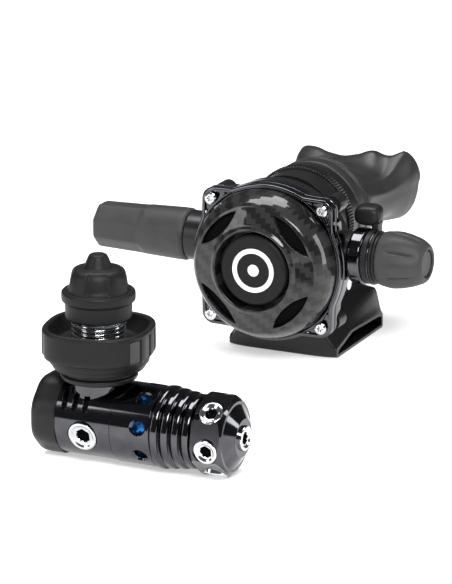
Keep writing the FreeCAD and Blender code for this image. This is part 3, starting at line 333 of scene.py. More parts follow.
for maker, looks in ((metal, METALS), (plastic, PLASTICS), (rubber, RUBBERS)):
    for look_name, look in looks.items():
        MATERIALS[look_name] = maker(look_name, *look)


def dress_cad_nodes():
    """Gives every CAD node the material of its slot."""
    for part in frame["record"]["subparts"]:
        mesh = NODES[part["node"]].data
        mesh.materials.clear()
        mesh.materials.append(MATERIALS[part["material_slot"]])


dress_cad_nodes()


# ---- mesh helpers: shapes are in millimetres from a stage's centre ----
def place_mm(centre, x, y, z):
    return centre + Vector((x, y, z)) * MM


def make_object(name, points, faces, material, body, replaced=(), slot=None):
    """A visible piece that rides a body and stands in for the replaced CAD nodes."""
    mesh = bpy.data.meshes.new(name)
    mesh.from_pydata(points, [], faces)
    edit = bmesh.new()
    edit.from_mesh(mesh)
    bmesh.ops.remove_doubles(edit, verts=edit.verts, dist=1e-6)
    bmesh.ops.recalc_face_normals(edit, faces=edit.faces)
    edit.to_mesh(mesh)
    edit.free()
    obj = bpy.data.objects.new(name, mesh)
    bpy.context.scene.collection.objects.link(obj)
    mesh.materials.append(MATERIALS[material])
    mesh.shade_smooth()
    if replaced:
        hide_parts(*replaced)
    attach(obj, body)
    return obj


def flat_shading(obj, angle=32):
    """Keeps flats flat and rounds smooth: sharp above the angle, weighted below it."""
    obj.data.set_sharp_from_angle(angle=math.radians(angle))
    weighted = obj.modifiers.new("weighted", "WEIGHTED_NORMAL")
    weighted.keep_sharp = True
    return obj


def apply_modifiers(obj):
    """Bakes the modifiers into the mesh."""
    graph = bpy.context.evaluated_depsgraph_get()
    mesh = bpy.data.meshes.new_from_object(obj.evaluated_get(graph))
    obj.modifiers.clear()
    obj.data = mesh
    return obj


def softened(outline, radius, steps=3, closed=True):
    """Rounds the corners of an outline of (along, radius) pairs with small arcs."""
    result = []
    count = len(outline)
    for index in range(count):
        here = Vector(outline[index])
        if not closed and index in (0, count - 1):
            result.append(tuple(here))
            continue
        before = Vector(outline[index - 1]) - here
        after = Vector(outline[(index + 1) % count]) - here
        reach = min(radius, before.length * 0.45, after.length * 0.45)
        start = here + before.normalized() * reach
        end = here + after.normalized() * reach
        for step in range(steps + 1):
            t = step / steps
            result.append(tuple(start * (1 - t) ** 2 + here * 2 * t * (1 - t) + end * t * t))
    return result


def axis_sides(axis):
    """Two directions square to the axis and to each other."""
    side = Z if abs(axis.z) < 0.5 else X
    side = (side - axis * side.dot(axis)).normalized()
    return side, axis.cross(side)


def revolve(outline, centre, axis, steps=144, closed=True):
    """Points and faces of a turned shape about an axis through the centre."""
    side, other = axis_sides(axis)
    points = []
    rings = []
    for along, radius in outline:
        if radius < 1e-5:
            rings.append([len(points)])
            points.append(centre + axis * along * MM)
            continue
        ring = []
        for step in range(steps):
            angle = 2 * math.pi * step / steps
            way = side * math.cos(angle) + other * math.sin(angle)
            ring.append(len(points))
            points.append(centre + (axis * along + way * radius) * MM)
        rings.append(ring)
    pairs = list(zip(rings, rings[1:]))
    if closed:
        pairs.append((rings[-1], rings[0]))
    return points, bridge(pairs)


def bridge(pairs):
    """Faces between pairs of index rings; a ring of one index is a tip."""
    faces = []
    for first, second in pairs:
        steps = max(len(first), len(second))
        if len(first) == len(second) == 1:
            continue
        for step in range(steps):
            following = (step + 1) % steps
            if len(first) == 1:
                faces.append((first[0], second[step], second[following]))
            elif len(second) == 1:
                faces.append((first[step], second[0], first[following]))
            else:
                faces.append((first[step], second[step], second[following], first[following]))
    return faces


def loft(rings, closed_ends=True):
    """Points and faces through equal rings of points."""
    points = []
    indices = []
    for ring in rings:
        indices.append(list(range(len(points), len(points) + len(ring))))
        points += ring
    faces = bridge(list(zip(indices, indices[1:])))
    if closed_ends:
        for ring in (indices[0], indices[-1]):
            middle_point = sum((points[i] for i in ring), Vector()) / len(ring)
            points.append(middle_point)
            faces += bridge([(ring, [len(points) - 1])])
    return points, faces


def ring_about(centre, first, second, radius_at, count):
    """Ring of points; radius_at takes the angle from first towards second, or is one radius."""
    points = []
    for step in range(count):
        angle = 2 * math.pi * step / count
        radius = radius_at(angle) if callable(radius_at) else radius_at
        points.append(centre + (first * math.cos(angle) + second * math.sin(angle)) * radius * MM)
    return points


def lofted_piece(name, rings, material, body, replaced=(), slot=None, angle=50, hollow=True):
    """Piece through rings; a hollow one has its last ring joined to its first."""
    shape = loft(rings + [rings[0]], closed_ends=False) if hollow else loft(rings)
    return flat_shading(make_object(name, *shape, material, body, replaced, slot), angle)


def turned_piece(name, outline, centre, axis, material, body, replaced=(), soft=0.3, steps=144,
                 slot=None):
    """Turned piece with rounded corners; an outline that starts and ends on the axis is a solid."""
    open_chain = outline[0][1] < 1e-5
    shape = softened(outline, soft, 3, not open_chain) if soft else outline
    points, faces = revolve(shape, centre, axis, steps, not open_chain)
    return flat_shading(make_object(name, points, faces, material, body, replaced, slot))


def smooth_step(low, high, value):
    """0 below low, 1 above high and smooth between."""
    share = min(max((value - low) / (high - low), 0.0), 1.0)
    return share * share * (3 - 2 * share)


def between(table, value):
    """Linear reading of a short table of (place, value) pairs."""
    if value <= table[0][0]:
        return table[0][1]
    for (low, first), (high, second) in zip(table, table[1:]):
        if value <= high:
            return first + (second - first) * (value - low) / (high - low)
    return table[-1][1]


def cut_with(obj, cutter):
    """Boolean cut, baked; the cutter is removed."""
    tool = obj.modifiers.new("cut", "BOOLEAN")
    tool.operation = "DIFFERENCE"
    tool.solver = "EXACT"
    tool.object = cutter
    apply_modifiers(obj)
    bpy.data.objects.remove(cutter)
    return obj


def loose_object(name, points, faces):
    """A helper mesh that isn't part of the object, such as a cutter."""
    mesh = bpy.data.meshes.new(name)
    mesh.from_pydata(points, [], faces)
    edit = bmesh.new()
    edit.from_mesh(mesh)
    bmesh.ops.recalc_face_normals(edit, faces=edit.faces)
    edit.to_mesh(mesh)
    edit.free()
    obj = bpy.data.objects.new(name, mesh)
    bpy.context.scene.collection.objects.link(obj)
    return obj


# ---- second stage: front ----
# Sizes from here on are in millimetres: Y is measured from the barrel's axis, towards the mouth.
FRAME_R = 36.4
EAR_HALF = 32.1
EAR_CORNER = 5.5
FRAME_FRONT = -16.4
FRAME_BACK = -5.0
EAR_BLEND = 1.6                     # how softly the ears grow out of the circle
EAR_BLEND_SHARE = 0.35
FRAME_BORE = 31.2
FRAME_SEAT = 35.5                   # radius at which the front meets the cover
VENT_REACH = 12.2
VENT_BULGE = 2.9
VENT_R = 25.0


def frame_radius(angle, inset=0.0):
    """Outline of the frame: a circle with four rounded square ears."""
    half = EAR_HALF - inset
    corner = EAR_CORNER
    inner = half - corner
    c, s = abs(math.cos(angle)), abs(math.sin(angle))
    straight = half / max(c, s)
    if min(straight * c, straight * s) > inner:
        along = inner * (c + s)
        straight = along + math.sqrt(max(along * along - 2 * inner * inner + corner * corner, 0))
    circle = FRAME_R - inset
    high = max(circle, straight)
    both = math.exp((circle - high) / EAR_BLEND) + math.exp((straight - high) / EAR_BLEND)
    return high + EAR_BLEND * EAR_BLEND_SHARE * math.log(both)


def ear_share(angle):
    """1 on an ear, 0 on the circle between two ears."""
    return smooth_step(38.0, 39.6, frame_radius(angle))


def make_front_frame():
    """Plated frame: a groove around its side, and ears sunk around their screws."""
    steps = 288
    rings = []

    def ring(depth, radius_at):
        points = ring_about(FRONT, X, Z, radius_at, steps)
        for step, point in enumerate(points):
            point.y += (depth(2 * math.pi * step / steps) if callable(depth) else depth) * MM
        rings.append(points)

    def side(inset):
        return lambda angle: frame_radius(angle, inset)

    def toward_cover(share):
        return lambda angle: frame_radius(angle, 1.7) * (1 - share) + FRAME_SEAT * share

    def behind(depth, ear_depth=4.0):
        return lambda angle: FRAME_BACK - depth - ear_depth * ear_share(angle)

    def floor(rise=0.0):
        return lambda angle: FRAME_FRONT + 1.3 * ear_share(angle) - rise

    ring(FRAME_BACK, FRAME_BORE)
    ring(FRAME_BACK, FRAME_R - 1.0)
    ring(behind(0.4, 3.6), lambda angle: FRAME_R - 0.3 + 0.2 * ear_share(angle))
    for depth, inset in ((behind(0.5), 0.5), (behind(0.9), 0.1), (-11.2, 0.0), (-11.6, 0.15),
                         (-11.9, 0.9), (-12.5, 0.9), (-12.8, 0.15), (-13.2, 0.0), (-15.6, 0.0),
                         (-16.1, 0.15), (-16.35, 0.5), (-16.4, 0.9), (-16.38, 1.4), (-16.25, 1.7)):
        ring(depth, side(inset))
    for depth, share in ((floor(0.15), 0.03), (floor(), 0.08), (floor(), 0.60), (floor(0.15), 0.72),
                         (-16.3, 0.78), (-16.4, 0.86)):
        ring(depth, toward_cover(share))
    for depth, radius in ((-16.38, 35.2), (-16.1, 34.9), (-14.0, 34.7), (-14.0, FRAME_BORE)):
        ring(depth, radius)
    lofted_piece("front_frame_shell", rings, "black_chrome", "second_stage", ["front_frame"])


def lens_cutter(turn):
    """Lens-shaped prism that opens one vent in the cover, wider at its front."""
    arc = 20
    spin = Matrix.Rotation(math.radians(45 + 90 * turn), 3, "Y")
    rings = []
    for depth, spread in ((-33.5, 0.75), (-30.2, 0.0), (-18.2, 0.1)):
        outline = []
        for way in (1, -1):
            for step in range(arc):
                share = -1 + 2 * step / arc
                bulge = (VENT_BULGE + spread * 0.7) * (1 - abs(share) ** 2.3)
                outline.append(((VENT_REACH + spread) * share * way, VENT_R + bulge * way))
        rings.append([FRONT + spin @ Vector((along, depth, out)) * MM for along, out in outline])
    return loose_object("vent_cutter", *loft(rings))


def make_carbon_cover():
    """Carbon shell: steep flank, flat ring with four vents and a lip around the button."""
    outer = [(-16.42, 34.5), (-18.2, 34.45), (-21.0, 33.95), (-23.6, 33.0), (-25.8, 31.9), (-27.5, 30.75),
             (-28.5, 29.85), (-28.95, 29.2), (-29.1, 28.5), (-29.35, 27.4), (-30.2, 24.6), (-30.8, 22.2),
             (-31.15, 20.7), (-31.75, 19.9), (-32.15, 19.3), (-32.2, 18.8), (-31.9, 18.4), (-31.0, 18.25)]
    inner = [(-18.0, 18.25), (-18.0, 19.9), (-29.4, 20.2), (-27.6, 27.0), (-26.6, 28.6), (-23.0, 31.0),
             (-16.42, 32.4)]
    points, faces = revolve(softened(outer + inner, 0.35, 2), FRONT, Y, 192)
    obj = make_object("carbon_cover_shell", points, faces, "carbon", "second_stage", ["carbon_cover"])
    for turn in range(4):
        cut_with(obj, lens_cutter(turn))
    return flat_shading(obj, 32)


def make_cover_backing():
    """Near-black sheet behind the vents: painted shade for the dark inside of the cover."""
    outline = [(-28.7, 20.5), (-27.2, 26.6), (-26.0, 28.8), (-25.4, 28.6), (-26.7, 26.4), (-28.1, 20.5)]
    turned_piece("vent_shade_sheet", outline, FRONT, Y, "shadow_black", "second_stage", soft=0.1,
                 slot="oring_rubber")


def make_purge_button():
    """Soft button with a plain ring and dot in place of a mark."""
    outline = [(-30.45, 0), (-30.5, 8), (-30.7, 12.5), (-30.78, 14.4), (-30.5, 15.5), (-29.8, 16.2),
               (-28.8, 16.5), (-25.6, 16.5), (-25.6, 4), (-14.5, 4), (-14.5, 0)]
    turned_piece("purge_pad", outline, FRONT, Y, "button_rubber", "purge", ["purge_button"], soft=0.5,
                 slot="charcoal_rubber")
    outline = [(-30.4, 7.9), (-30.92, 8.0), (-31.0, 9.1), (-30.98, 10.1), (-30.4, 10.2)]
    turned_piece("purge_mark_ring", outline, FRONT, Y, "white_mark", "purge", ["purge_symbol"], soft=0.12)
    outline = [(-30.85, 0), (-30.82, 2.5), (-30.45, 2.8), (-30.2, 0)]
    turned_piece("purge_mark_dot", outline, FRONT, Y, "white_mark", "purge", soft=0.1)


make_front_frame()
make_carbon_cover()
make_cover_backing()
make_purge_button()


# ---- second stage: hose side ----
PROTECTOR_FREE = -91.5
PROTECTOR_CASE = -44.9


def side_ring(x, radius_at):
    """Ring square to the second stage's barrel, from its top."""
    return ring_about(SECOND + X * x * MM, Z, Y, radius_at, 192)


def make_hose_protector():
    """Rubber sleeve: eight flats at the free end that run out into a round barrel."""
    barrel = ((PROTECTOR_FREE, 10.75), (-66, 11.5), (-50, 12.05), (-46, 12.05), (PROTECTOR_CASE, 11.3))
    soft = 0.25                     # how softly a flat meets the barrel

    def sleeve(x):
        radius = between(barrel, x)
        flat = radius * math.cos(math.pi / 8) + 0.02 + 1.2 * smooth_step(-69.0, -64.5, x)
        lip = 1.3 * (1 - smooth_step(PROTECTOR_FREE, -90.2, x)) ** 2

        def radius_at(angle):
            near = (angle + math.pi / 8) % (math.pi / 4) - math.pi / 8
            edge = flat / math.cos(near)
            both = math.exp(-radius / soft) + math.exp(-edge / soft)
            return -soft * math.log(both) + 0.1 - lip
        return radius_at

    stops = [PROTECTOR_FREE, -91.3, -90.8, -90.0, -88.5] + [-86 + 2 * i for i in range(8)]
    stops += [-70 + 0.4 * i for i in range(18)]
    stops += [-62.5, -60, -56, -52, -49, -47, -46.2, -45.6, -45.1, PROTECTOR_CASE]
    rings = [side_ring(x, sleeve(x)) for x in stops]
    rings += [side_ring(x, radius) for x, radius in
              ((PROTECTOR_CASE, 9.2), (-45.4, 9.0), (-66.0, 9.0), (-66.2, 8.6), (-90.6, 8.6), (-90.8, 7.6),
               (-91.4, 7.6))]
    lofted_piece("hose_sleeve", rings, "charcoal_rubber", "hose_end", ["hose_protector"])


# ---- second stage: knob side ----
KNOB_LOBES = 6
KNOB_CREASE = 0.75                  # depth and half width of a crease
KNOB_CREASE_HALF = 0.55
KNOB_SWELL = 0.45


def make_adjustment_knob():
    """Tapered rubber knob with soft flats and short pinched creases between them."""
    taper = ((50.2, 11.2), (50.5, 11.9), (51.4, 12.35), (52.6, 12.5), (55, 12.75), (58, 12.7), (62, 12.1),
             (66, 11.0), (69, 9.95), (70.6, 9.2), (71.5, 8.3), (71.9, 7.5))

    def grip(x):
        radius = between(taper, x)
        creased = smooth_step(53.5, 57.5, x) * (1 - smooth_step(65.5, 68.5, x))
        lobed = smooth_step(52.0, 58.0, x) * (1 - smooth_step(67, 71, x))

        def radius_at(angle):
            near = (angle + math.pi / KNOB_LOBES) % (2 * math.pi / KNOB_LOBES) - math.pi / KNOB_LOBES
            crease = math.exp(-(near * radius / KNOB_CREASE_HALF) ** 2) * creased
            swell = math.cos(KNOB_LOBES * angle) * lobed
            return radius - KNOB_CREASE * crease - KNOB_SWELL * swell
        return radius_at

    stops = [50.2, 50.5, 51.0, 51.8, 52.6] + [53.4 + 0.9 * i for i in range(18)]
    stops += [69.6, 70.3, 70.9, 71.4, 71.7, 71.9]
    rings = [side_ring(54.0, 8.3), side_ring(50.3, 8.5)] + [side_ring(x, grip(x)) for x in stops]
    rings += [side_ring(71.9, 6.9), side_ring(71.6, 6.5), side_ring(70.2, 6.3), side_ring(70.1, 6.1)]
    lofted_piece("knob_grip", rings, "charcoal_rubber", "adjuster", ["adjustment_knob"], hollow=False)
    turned_piece("knob_end_disc", [(70.15, 0), (71.05, 0), (71.1, 5.4), (70.9, 5.9), (70.15, 6.0)], SECOND, X,
                 "grey_grip", "adjuster", ["knob_disc"], soft=0.15)
    turned_piece("knob_end_rim", [(70.2, 6.05), (71.3, 6.15), (71.35, 6.45), (70.2, 6.55)], SECOND, X,
                 "oring_rubber", "adjuster", soft=0.1)


def make_barrel_trim():
    """Plated collar, and the washers between it and the knob."""
    collar = [(36.9, 10.55), (43.35, 10.55), (43.35, 12.2), (42.8, 12.8), (38.0, 12.8), (36.9, 12.1)]
    turned_piece("chrome_collar", collar, SECOND, X, "black_chrome", "second_stage", ["barrel_collar"],
                 soft=0.3)
    bright = [(46.65, 8.2), (47.3, 8.2), (47.3, 12.55), (46.9, 12.6), (46.65, 12.4)]
    turned_piece("washer_bright_edge", bright, SECOND, X, "black_chrome", "second_stage",
                 ["barrel_washers"], soft=0.12)
    washers = (("washer_wide", 47.35, 48.55, 12.2), ("washer_narrow", 48.65, 49.95, 11.5))
    for name, low, high, radius in washers:
        outline = [(low, 8.2), (high, 8.2), (high, radius - 0.3), (high - 0.35, radius), (low, radius)]
        turned_piece(name, outline, SECOND, X, "guard_rubber", "second_stage", soft=0.25,
                     slot="black_plastic")


def squared(angle, power):
    """Point of a unit superellipse; power 2 is a circle and higher ones are squarer."""
    c, s = math.cos(angle), math.sin(angle)
    scale = (abs(c) ** power + abs(s) ** power) ** (-1 / power)
    return c * scale, s * scale


def rounded_ring(half_a, half_b, power, count):
    """Superellipse of the given half sizes, as (a, b) pairs."""
    pairs = (squared(2 * math.pi * (step + 0.5) / count, power) for step in range(count))
    return [(half_a * a, half_b * b) for a, b in pairs]


TAB_X = 41.0
TAB_Z = 17.7
TAB_HALF_X = 6.3
TAB_HALF_Z = 4.4
LEVER_X = 45.0


def make_venturi_lever():
    """Ring around the barrel with a thumb tab that stands up over the collar."""
    outline = [(43.45, 8.25), (46.5, 8.25), (46.5, 11.7), (46.1, 12.3), (43.9, 12.3), (43.45, 11.8)]
    turned_piece("lever_ring", outline, SECOND, X, "guard_rubber", "venturi", ["venturi_lever"],
                 soft=0.3, slot="black_plastic")
    rings = []
    for y, share in ((0.7, 0.52), (0.85, 0.70), (1.4, 0.86), (2.4, 0.96), (3.8, 1.0), (6.6, 1.0), (8.0, 0.95),
                     (9.0, 0.84), (9.5, 0.68), (9.6, 0.5)):
        ring = []
        for a, b in rounded_ring(TAB_HALF_X * share, TAB_HALF_Z * share, 2.9, 72):
            lean = 0.12 * (y - 1.4)
            ring.append(place_mm(SECOND, TAB_X + a, y, TAB_Z + b + lean))
        rings.append(ring)
    lofted_piece("lever_tab", rings, "guard_rubber", "venturi", slot="black_plastic", angle=60, hollow=False)
    rings = []
    for z, half in ((7.5, 1.5), (11.0, 1.5), (13.0, 1.55), (15.0, 1.9)):
        rings.append([place_mm(SECOND, LEVER_X + a, 4.9 + b, z) for a, b in rounded_ring(half, 3.6, 5.0, 48)])
    lofted_piece("lever_neck", rings, "guard_rubber", "venturi", slot="black_plastic", angle=60, hollow=False)


# ---- second stage: mouthpiece ----
REAR_Z = 6.8
TAB_MIDDLE_X = 19.4
TAB_MIDDLE_Z = 9.2


def oval(half_x, low, high, power, y, count=128, centre_x=0.0):
    """Section in a plane square to Y; power 2 is an ellipse."""
    ring = []
    middle_z = (low + high) / 2
    half_z = (high - low) / 2
    for step in range(count):
        a, b = squared(2 * math.pi * step / count, power)
        ring.append(place_mm(SECOND, centre_x + half_x * a, y, middle_z + half_z * b))
    return ring


def lip_outline(count=128):
    """Radius of the lip shield by angle: wavy on top, with a nub and a swept end at each side."""
    corners = ((31.6, 5.2), (30.8, 9.8), (28.0, 15.4), (23.8, 18.0), (19.6, 15.8), (15.5, 16.0),
               (10.8, 17.7), (3.0, 15.4), (-5.0, 13.8), (-13.0, 14.4), (-21.0, 15.8), (-27.4, 14.6),
               (-30.8, 9.4), (-31.4, 1.0), (-28.6, -8.4), (-22.5, -14.2), (-14.0, -16.6), (0.0, -12.6),
               (13.0, -16.6), (19.5, -15.4), (24.6, -13.8), (28.2, -9.4), (30.4, -2.6), (31.0, 2.6))
    turn = 2 * math.pi
    polar = sorted((math.atan2(z, x) % turn, math.hypot(x, z)) for x, z in corners)
    polar = [(a - turn, r) for a, r in polar[-2:]] + polar + [(a + turn, r) for a, r in polar[:3]]
    radii = []
    for step in range(count):
        angle = turn * step / count
        spot = max(i for i in range(len(polar) - 2) if polar[i][0] <= angle)
        (a0, r0), (a1, r1), (a2, r2), (a3, r3) = polar[spot - 1:spot + 3]
        t = (angle - a1) / (a2 - a1)
        rise1 = (r2 - r0) / (a2 - a0) * (a2 - a1)
        rise2 = (r3 - r1) / (a3 - a1) * (a2 - a1)
        blend = ((2 * t ** 3 - 3 * t ** 2 + 1) * r1 + (t ** 3 - 2 * t ** 2 + t) * rise1
                 + (3 * t ** 2 - 2 * t ** 3) * r2 + (t ** 3 - t ** 2) * rise2)
        radii.append(blend)
    return radii


LIP_RADII = lip_outline()
LIP_Z = 9.0
LIP_HALF = 31.0
LIP_SWEEP = 8.2                     # how far the ends stand behind the middle
CREASE_AT = 0.30                    # place, width and height of the ridge along each side
CREASE_WIDE = 0.10
CREASE_HIGH = 1.3


def mouth_section(y, half_x, low, high, power, lip, scale=1.0):
    """Body section that turns into the lip shield as lip goes from 0 to 1, its ends swept back."""
    ring = []
    middle_z = (low + high) / 2
    half_z = (high - low) / 2
    count = len(LIP_RADII)
    for step, reach in enumerate(LIP_RADII):
        angle = 2 * math.pi * step / count
        c, s = math.cos(angle), math.sin(angle)
        a, b = squared(angle, power)
        body_x = half_x * a
        body_z = middle_z + half_z * b
        crease = math.exp(-((angle - CREASE_AT) / CREASE_WIDE) ** 2) * CREASE_HIGH * (1 - lip)
        x = body_x * (1 - lip) + reach * scale * c * lip + crease * c
        z = body_z * (1 - lip) + (LIP_Z + reach * scale * s) * lip + crease * s
        sweep = LIP_SWEEP * (x / LIP_HALF) ** 2 * lip
        ring.append(place_mm(SECOND, x, y + sweep, z))
    return ring


def make_bite_tab(name, way):
    """Stem and flat head that the teeth hold; way is 1 on the knob's side."""
    rings = []
    for y, half_x, half_z in ((83.0, 5.6, 4.2), (85.6, 4.6, 3.4), (87.5, 4.2, 2.9), (89.5, 4.2, 2.7),
                              (91.2, 4.5, 3.4), (92.2, 5.2, 5.4), (93.2, 5.6, 6.4), (94.2, 5.5, 6.3),
                              (94.8, 4.9, 5.4), (94.95, 3.6, 3.8)):
        low, high = TAB_MIDDLE_Z - half_z, TAB_MIDDLE_Z + half_z
        rings.append(oval(half_x, low, high, 3.0, y, 64, way * TAB_MIDDLE_X))
    lofted_piece(name, rings, "mouth_rubber", "second_stage", angle=60, hollow=False)


def make_mouthpiece():
    """Soft tube with clamp grooves, a swept lip shield and an oval bore, and its two bite tabs."""
    rings = []
    collar = ((34.2, 23.5), (34.5, 24.3), (35.3, 24.7), (40.6, 24.7), (41.0, 24.5), (41.2, 24.0),
              (41.6, 24.0), (41.8, 24.5), (42.2, 24.6), (42.6, 24.5), (42.8, 24.0), (43.2, 24.0),
              (43.4, 24.5), (43.8, 24.6), (44.2, 24.5), (44.4, 23.9), (44.8, 23.8), (45.0, 24.3))
    for y, radius in collar:
        rings.append(oval(radius, REAR_Z - radius, REAR_Z + radius, 2.0, y))
    body = ((46.0, 24.4, -17.0, 30.6, 2.0, 0.0), (48.5, 24.4, -15.8, 29.8, 2.0, 0.0),
            (52.0, 24.4, -13.8, 28.0, 2.02, 0.01), (56.0, 24.6, -11.6, 26.0, 2.05, 0.02),
            (60.0, 25.0, -9.6, 24.2, 2.08, 0.05), (64.0, 25.4, -7.8, 22.6, 2.1, 0.10),
            (68.0, 25.9, -6.2, 21.4, 2.15, 0.18), (71.0, 26.3, -5.0, 20.8, 2.2, 0.30),
            (74.0, 26.8, -4.2, 20.6, 2.2, 0.48), (76.5, 27.2, -4.0, 20.6, 2.2, 0.70),
            (78.4, 27.6, -4.0, 20.8, 2.2, 0.90))
    for y, half_x, low, high, power, lip in body:
        rings.append(mouth_section(y, half_x, low, high, power, lip))
    for y, scale in ((79.6, 0.985), (80.8, 1.0), (82.2, 1.0), (83.2, 0.985), (83.9, 0.95), (84.1, 0.88),
                     (84.0, 0.70)):
        rings.append(mouth_section(y, 27.6, -4.0, 20.8, 2.2, 1.0, scale))
    bore = ((14.4, 0.2, 17.8, 2.8, 84.4), (13.5, 0.8, 17.2, 3.0, 83.8), (13.3, 1.0, 17.0, 3.0, 80.0),
            (13.4, 0.8, 17.2, 3.0, 52.0), (15.1, -2.8, 16.4, 4.0, 50.4), (15.1, -2.8, 16.4, 4.0, 34.4))
    rings += [oval(*section) for section in bore]
    lofted_piece("mouthpiece_body", rings, "mouth_rubber", "second_stage", ["mouthpiece", "mouthpiece_clamp"],
                 angle=60)
    make_bite_tab("bite_tab_right", 1)
    make_bite_tab("bite_tab_left", -1)


def make_rear_ring():
    """Fine-toothed ring around the case tube, behind the frame."""
    teeth = 110
    tooth = (1, 0.4, -1, 0.4)
    rings = []
    for y, base, depth in ((21.0, 24.1, 0.0), (21.1, 24.8, 0.1), (21.5, 25.0, 0.3), (25.5, 25.0, 0.3),
                           (25.9, 24.8, 0.1), (26.0, 24.1, 0.0)):
        ring = []
        for step in range(teeth * 4):
            angle = 2 * math.pi * step / (teeth * 4)
            radius = base + depth * tooth[step % 4]
            ring.append(place_mm(SECOND, radius * math.cos(angle), y, REAR_Z + radius * math.sin(angle)))
        rings.append(ring)
    lofted_piece("rear_grip_ring", rings, "black_plastic", "second_stage", angle=30)


# ---- second stage: exhaust tee ----
TEE_HALF = 27.0
TEE_LOW = -51.0
TEE_WALL = 1.3
TEE_TOP_STEPS = 44
TEE_STOPS = 60


def tee_section(x, wall=0.0):
    """Closed outline of the tee in a plane square to X, as (y, z) pairs; wall moves it inwards."""
    share = abs(x) / TEE_HALF
    front = 0.4 + 2.2 * share ** 6
    back = 58.6 - 1.2 * share ** 4
    neck = 1 - smooth_step(0.58, 1.0, share)
    hood = 1 - smooth_step(0.84, 1.0, share)
    top_front = -46.6 + neck * 13.6
    crest = ((0, top_front), (0.12, top_front + 1.6), (0.30, -42.2 + neck * 10.0 + hood * 0.6),
             (0.46, -42.4 + neck * 9.4 + hood * 3.0), (0.62, -42.8 + neck * 7.0 + hood * 6.2),
             (0.78, -43.2 + neck * 4.4 + hood * 9.0), (0.90, -43.4 + neck * 2.6 + hood * 11.0),
             (1.0, -44.2 + neck * 0.9 + hood * 11.6))
    end = crest[-1][1]
    outline = [(front + 1.2, TEE_LOW), (front + 0.3, TEE_LOW + 0.5), (front, TEE_LOW + 1.4)]
    outline += [(front, top_front - 1.2), (front + 0.5, top_front - 0.3)]
    for step in range(1, TEE_TOP_STEPS):
        t = step / TEE_TOP_STEPS
        outline.append((front + (back - front) * t, between(crest, t)))
    outline += [(back - 0.4, end - 0.2), (back, end - 0.9), (back, TEE_LOW + 1.2)]
    outline += [(back - 0.3, TEE_LOW + 0.4), (back - 1.2, TEE_LOW)]
    return thinned(outline, (front + back) / 2, wall) if wall else outline


def thinned(outline, centre_y, wall):
    """The outline moved inwards by a wall; the walls across Y are a little thicker."""
    result = []
    floor = TEE_LOW + wall
    for y, z in outline:
        away = abs(y - centre_y)
        squeeze = (away - wall * 1.15) / away if away > 1 else 1
        inner_z = max(z - wall, floor) if z > TEE_LOW + 2.2 else floor
        result.append((centre_y + (y - centre_y) * squeeze, inner_z))
    return result


def make_exhaust_tee():
    """Hollow tee, open at both ends, with a hood that rises behind the knob."""
    stops = [-TEE_HALF + 2 * TEE_HALF * step / TEE_STOPS for step in range(TEE_STOPS + 1)]
    rings = [[place_mm(SECOND, x, y, z) for y, z in tee_section(x)] for x in stops]
    inner = [[place_mm(SECOND, x, y, z) for y, z in tee_section(x, TEE_WALL)] for x in reversed(stops)]
    lofted_piece("tee_shell", rings + inner, "black_plastic", "second_stage", ["exhaust_tee"])


make_hose_protector()
make_adjustment_knob()
make_barrel_trim()
make_venturi_lever()
make_mouthpiece()
make_rear_ring()
make_exhaust_tee()


# ---- first stage: DIN connector ----
def level_ring(z, radius_at, count=192):
    """Level ring about the first stage's upright axis, from +X."""
    return ring_about(FIRST + Z * z * MM, X, Y, radius_at, count)


def round_rings(outline, count=192):
    """Level circles from (z, radius) pairs."""
    return [level_ring(z, radius, count) for z, radius in outline]


CAP_FLAT_TURN = math.radians(-65)
CAP_FLAT_IN = math.radians(20.5)    # a flat's edge runs from the first angle to the second
CAP_FLAT_OUT = math.radians(23.5)
CAP_FLAT_CORNER = math.radians(12)
CAP_FLAT_DEPTH = 1.0


def cap_grip(z, radius):
    """Radius by angle of the cap's grip at a height."""
    depth = CAP_FLAT_DEPTH * smooth_step(55.3, 56.3, z) * (1 - smooth_step(63.2, 64.6, z) * 0.6)

    def radius_at(angle):
        near = (angle - CAP_FLAT_TURN + math.pi / 4) % (math.pi / 2) - math.pi / 4
        sunk = 1 - smooth_step(CAP_FLAT_IN, CAP_FLAT_OUT, abs(near))
        flat = min(radius, (radius - depth * 0.35) * math.cos(CAP_FLAT_CORNER) / math.cos(near))
        return radius + (min(flat, radius - depth) - radius) * sunk
    return radius_at


def make_dust_cap():
    """Rubber cap: sleeve, collar, grip with four sunk flats, and a cone with a dimple."""
    rings = round_rings(((43.25, 11.7), (43.25, 13.2), (43.5, 13.6), (44.1, 13.8), (49.9, 13.95),
                         (50.3, 14.1), (50.7, 14.9), (51.2, 15.3), (51.9, 15.4), (53.9, 15.4),
                         (54.5, 15.25), (54.9, 14.9), (55.05, 14.4), (54.95, 13.9), (55.15, 13.4)))
    rings += [level_ring(z, cap_grip(z, radius)) for z, radius in
              ((55.5, 13.25), (56.0, 13.15), (57.4, 13.0), (59.3, 12.7), (61.3, 12.25), (62.5, 11.75),
               (63.4, 11.05), (64.1, 10.1), (64.5, 9.0), (64.7, 7.6))]
    rings += round_rings(((64.65, 6.6), (64.8, 6.2), (65.3, 5.85), (66.4, 5.35), (67.9, 4.7), (69.2, 4.15),
                          (69.9, 3.75), (70.3, 3.2), (70.4, 2.6), (70.25, 1.9), (70.0, 1.2), (69.95, 0.4),
                          (46.9, 0.4), (46.9, 11.6)))
    lofted_piece("cap_moulding", rings, "cap_rubber", "cap", ["dust_cap"], "charcoal_rubber")


WHEEL_TURN = math.radians(10)
PAD_ANGLES = (-34, -11.3, 11.3, 34, 146, 168.7, 191.3, 214)
WHEEL_HALF = 22.7
WHEEL_POWER = 2.62


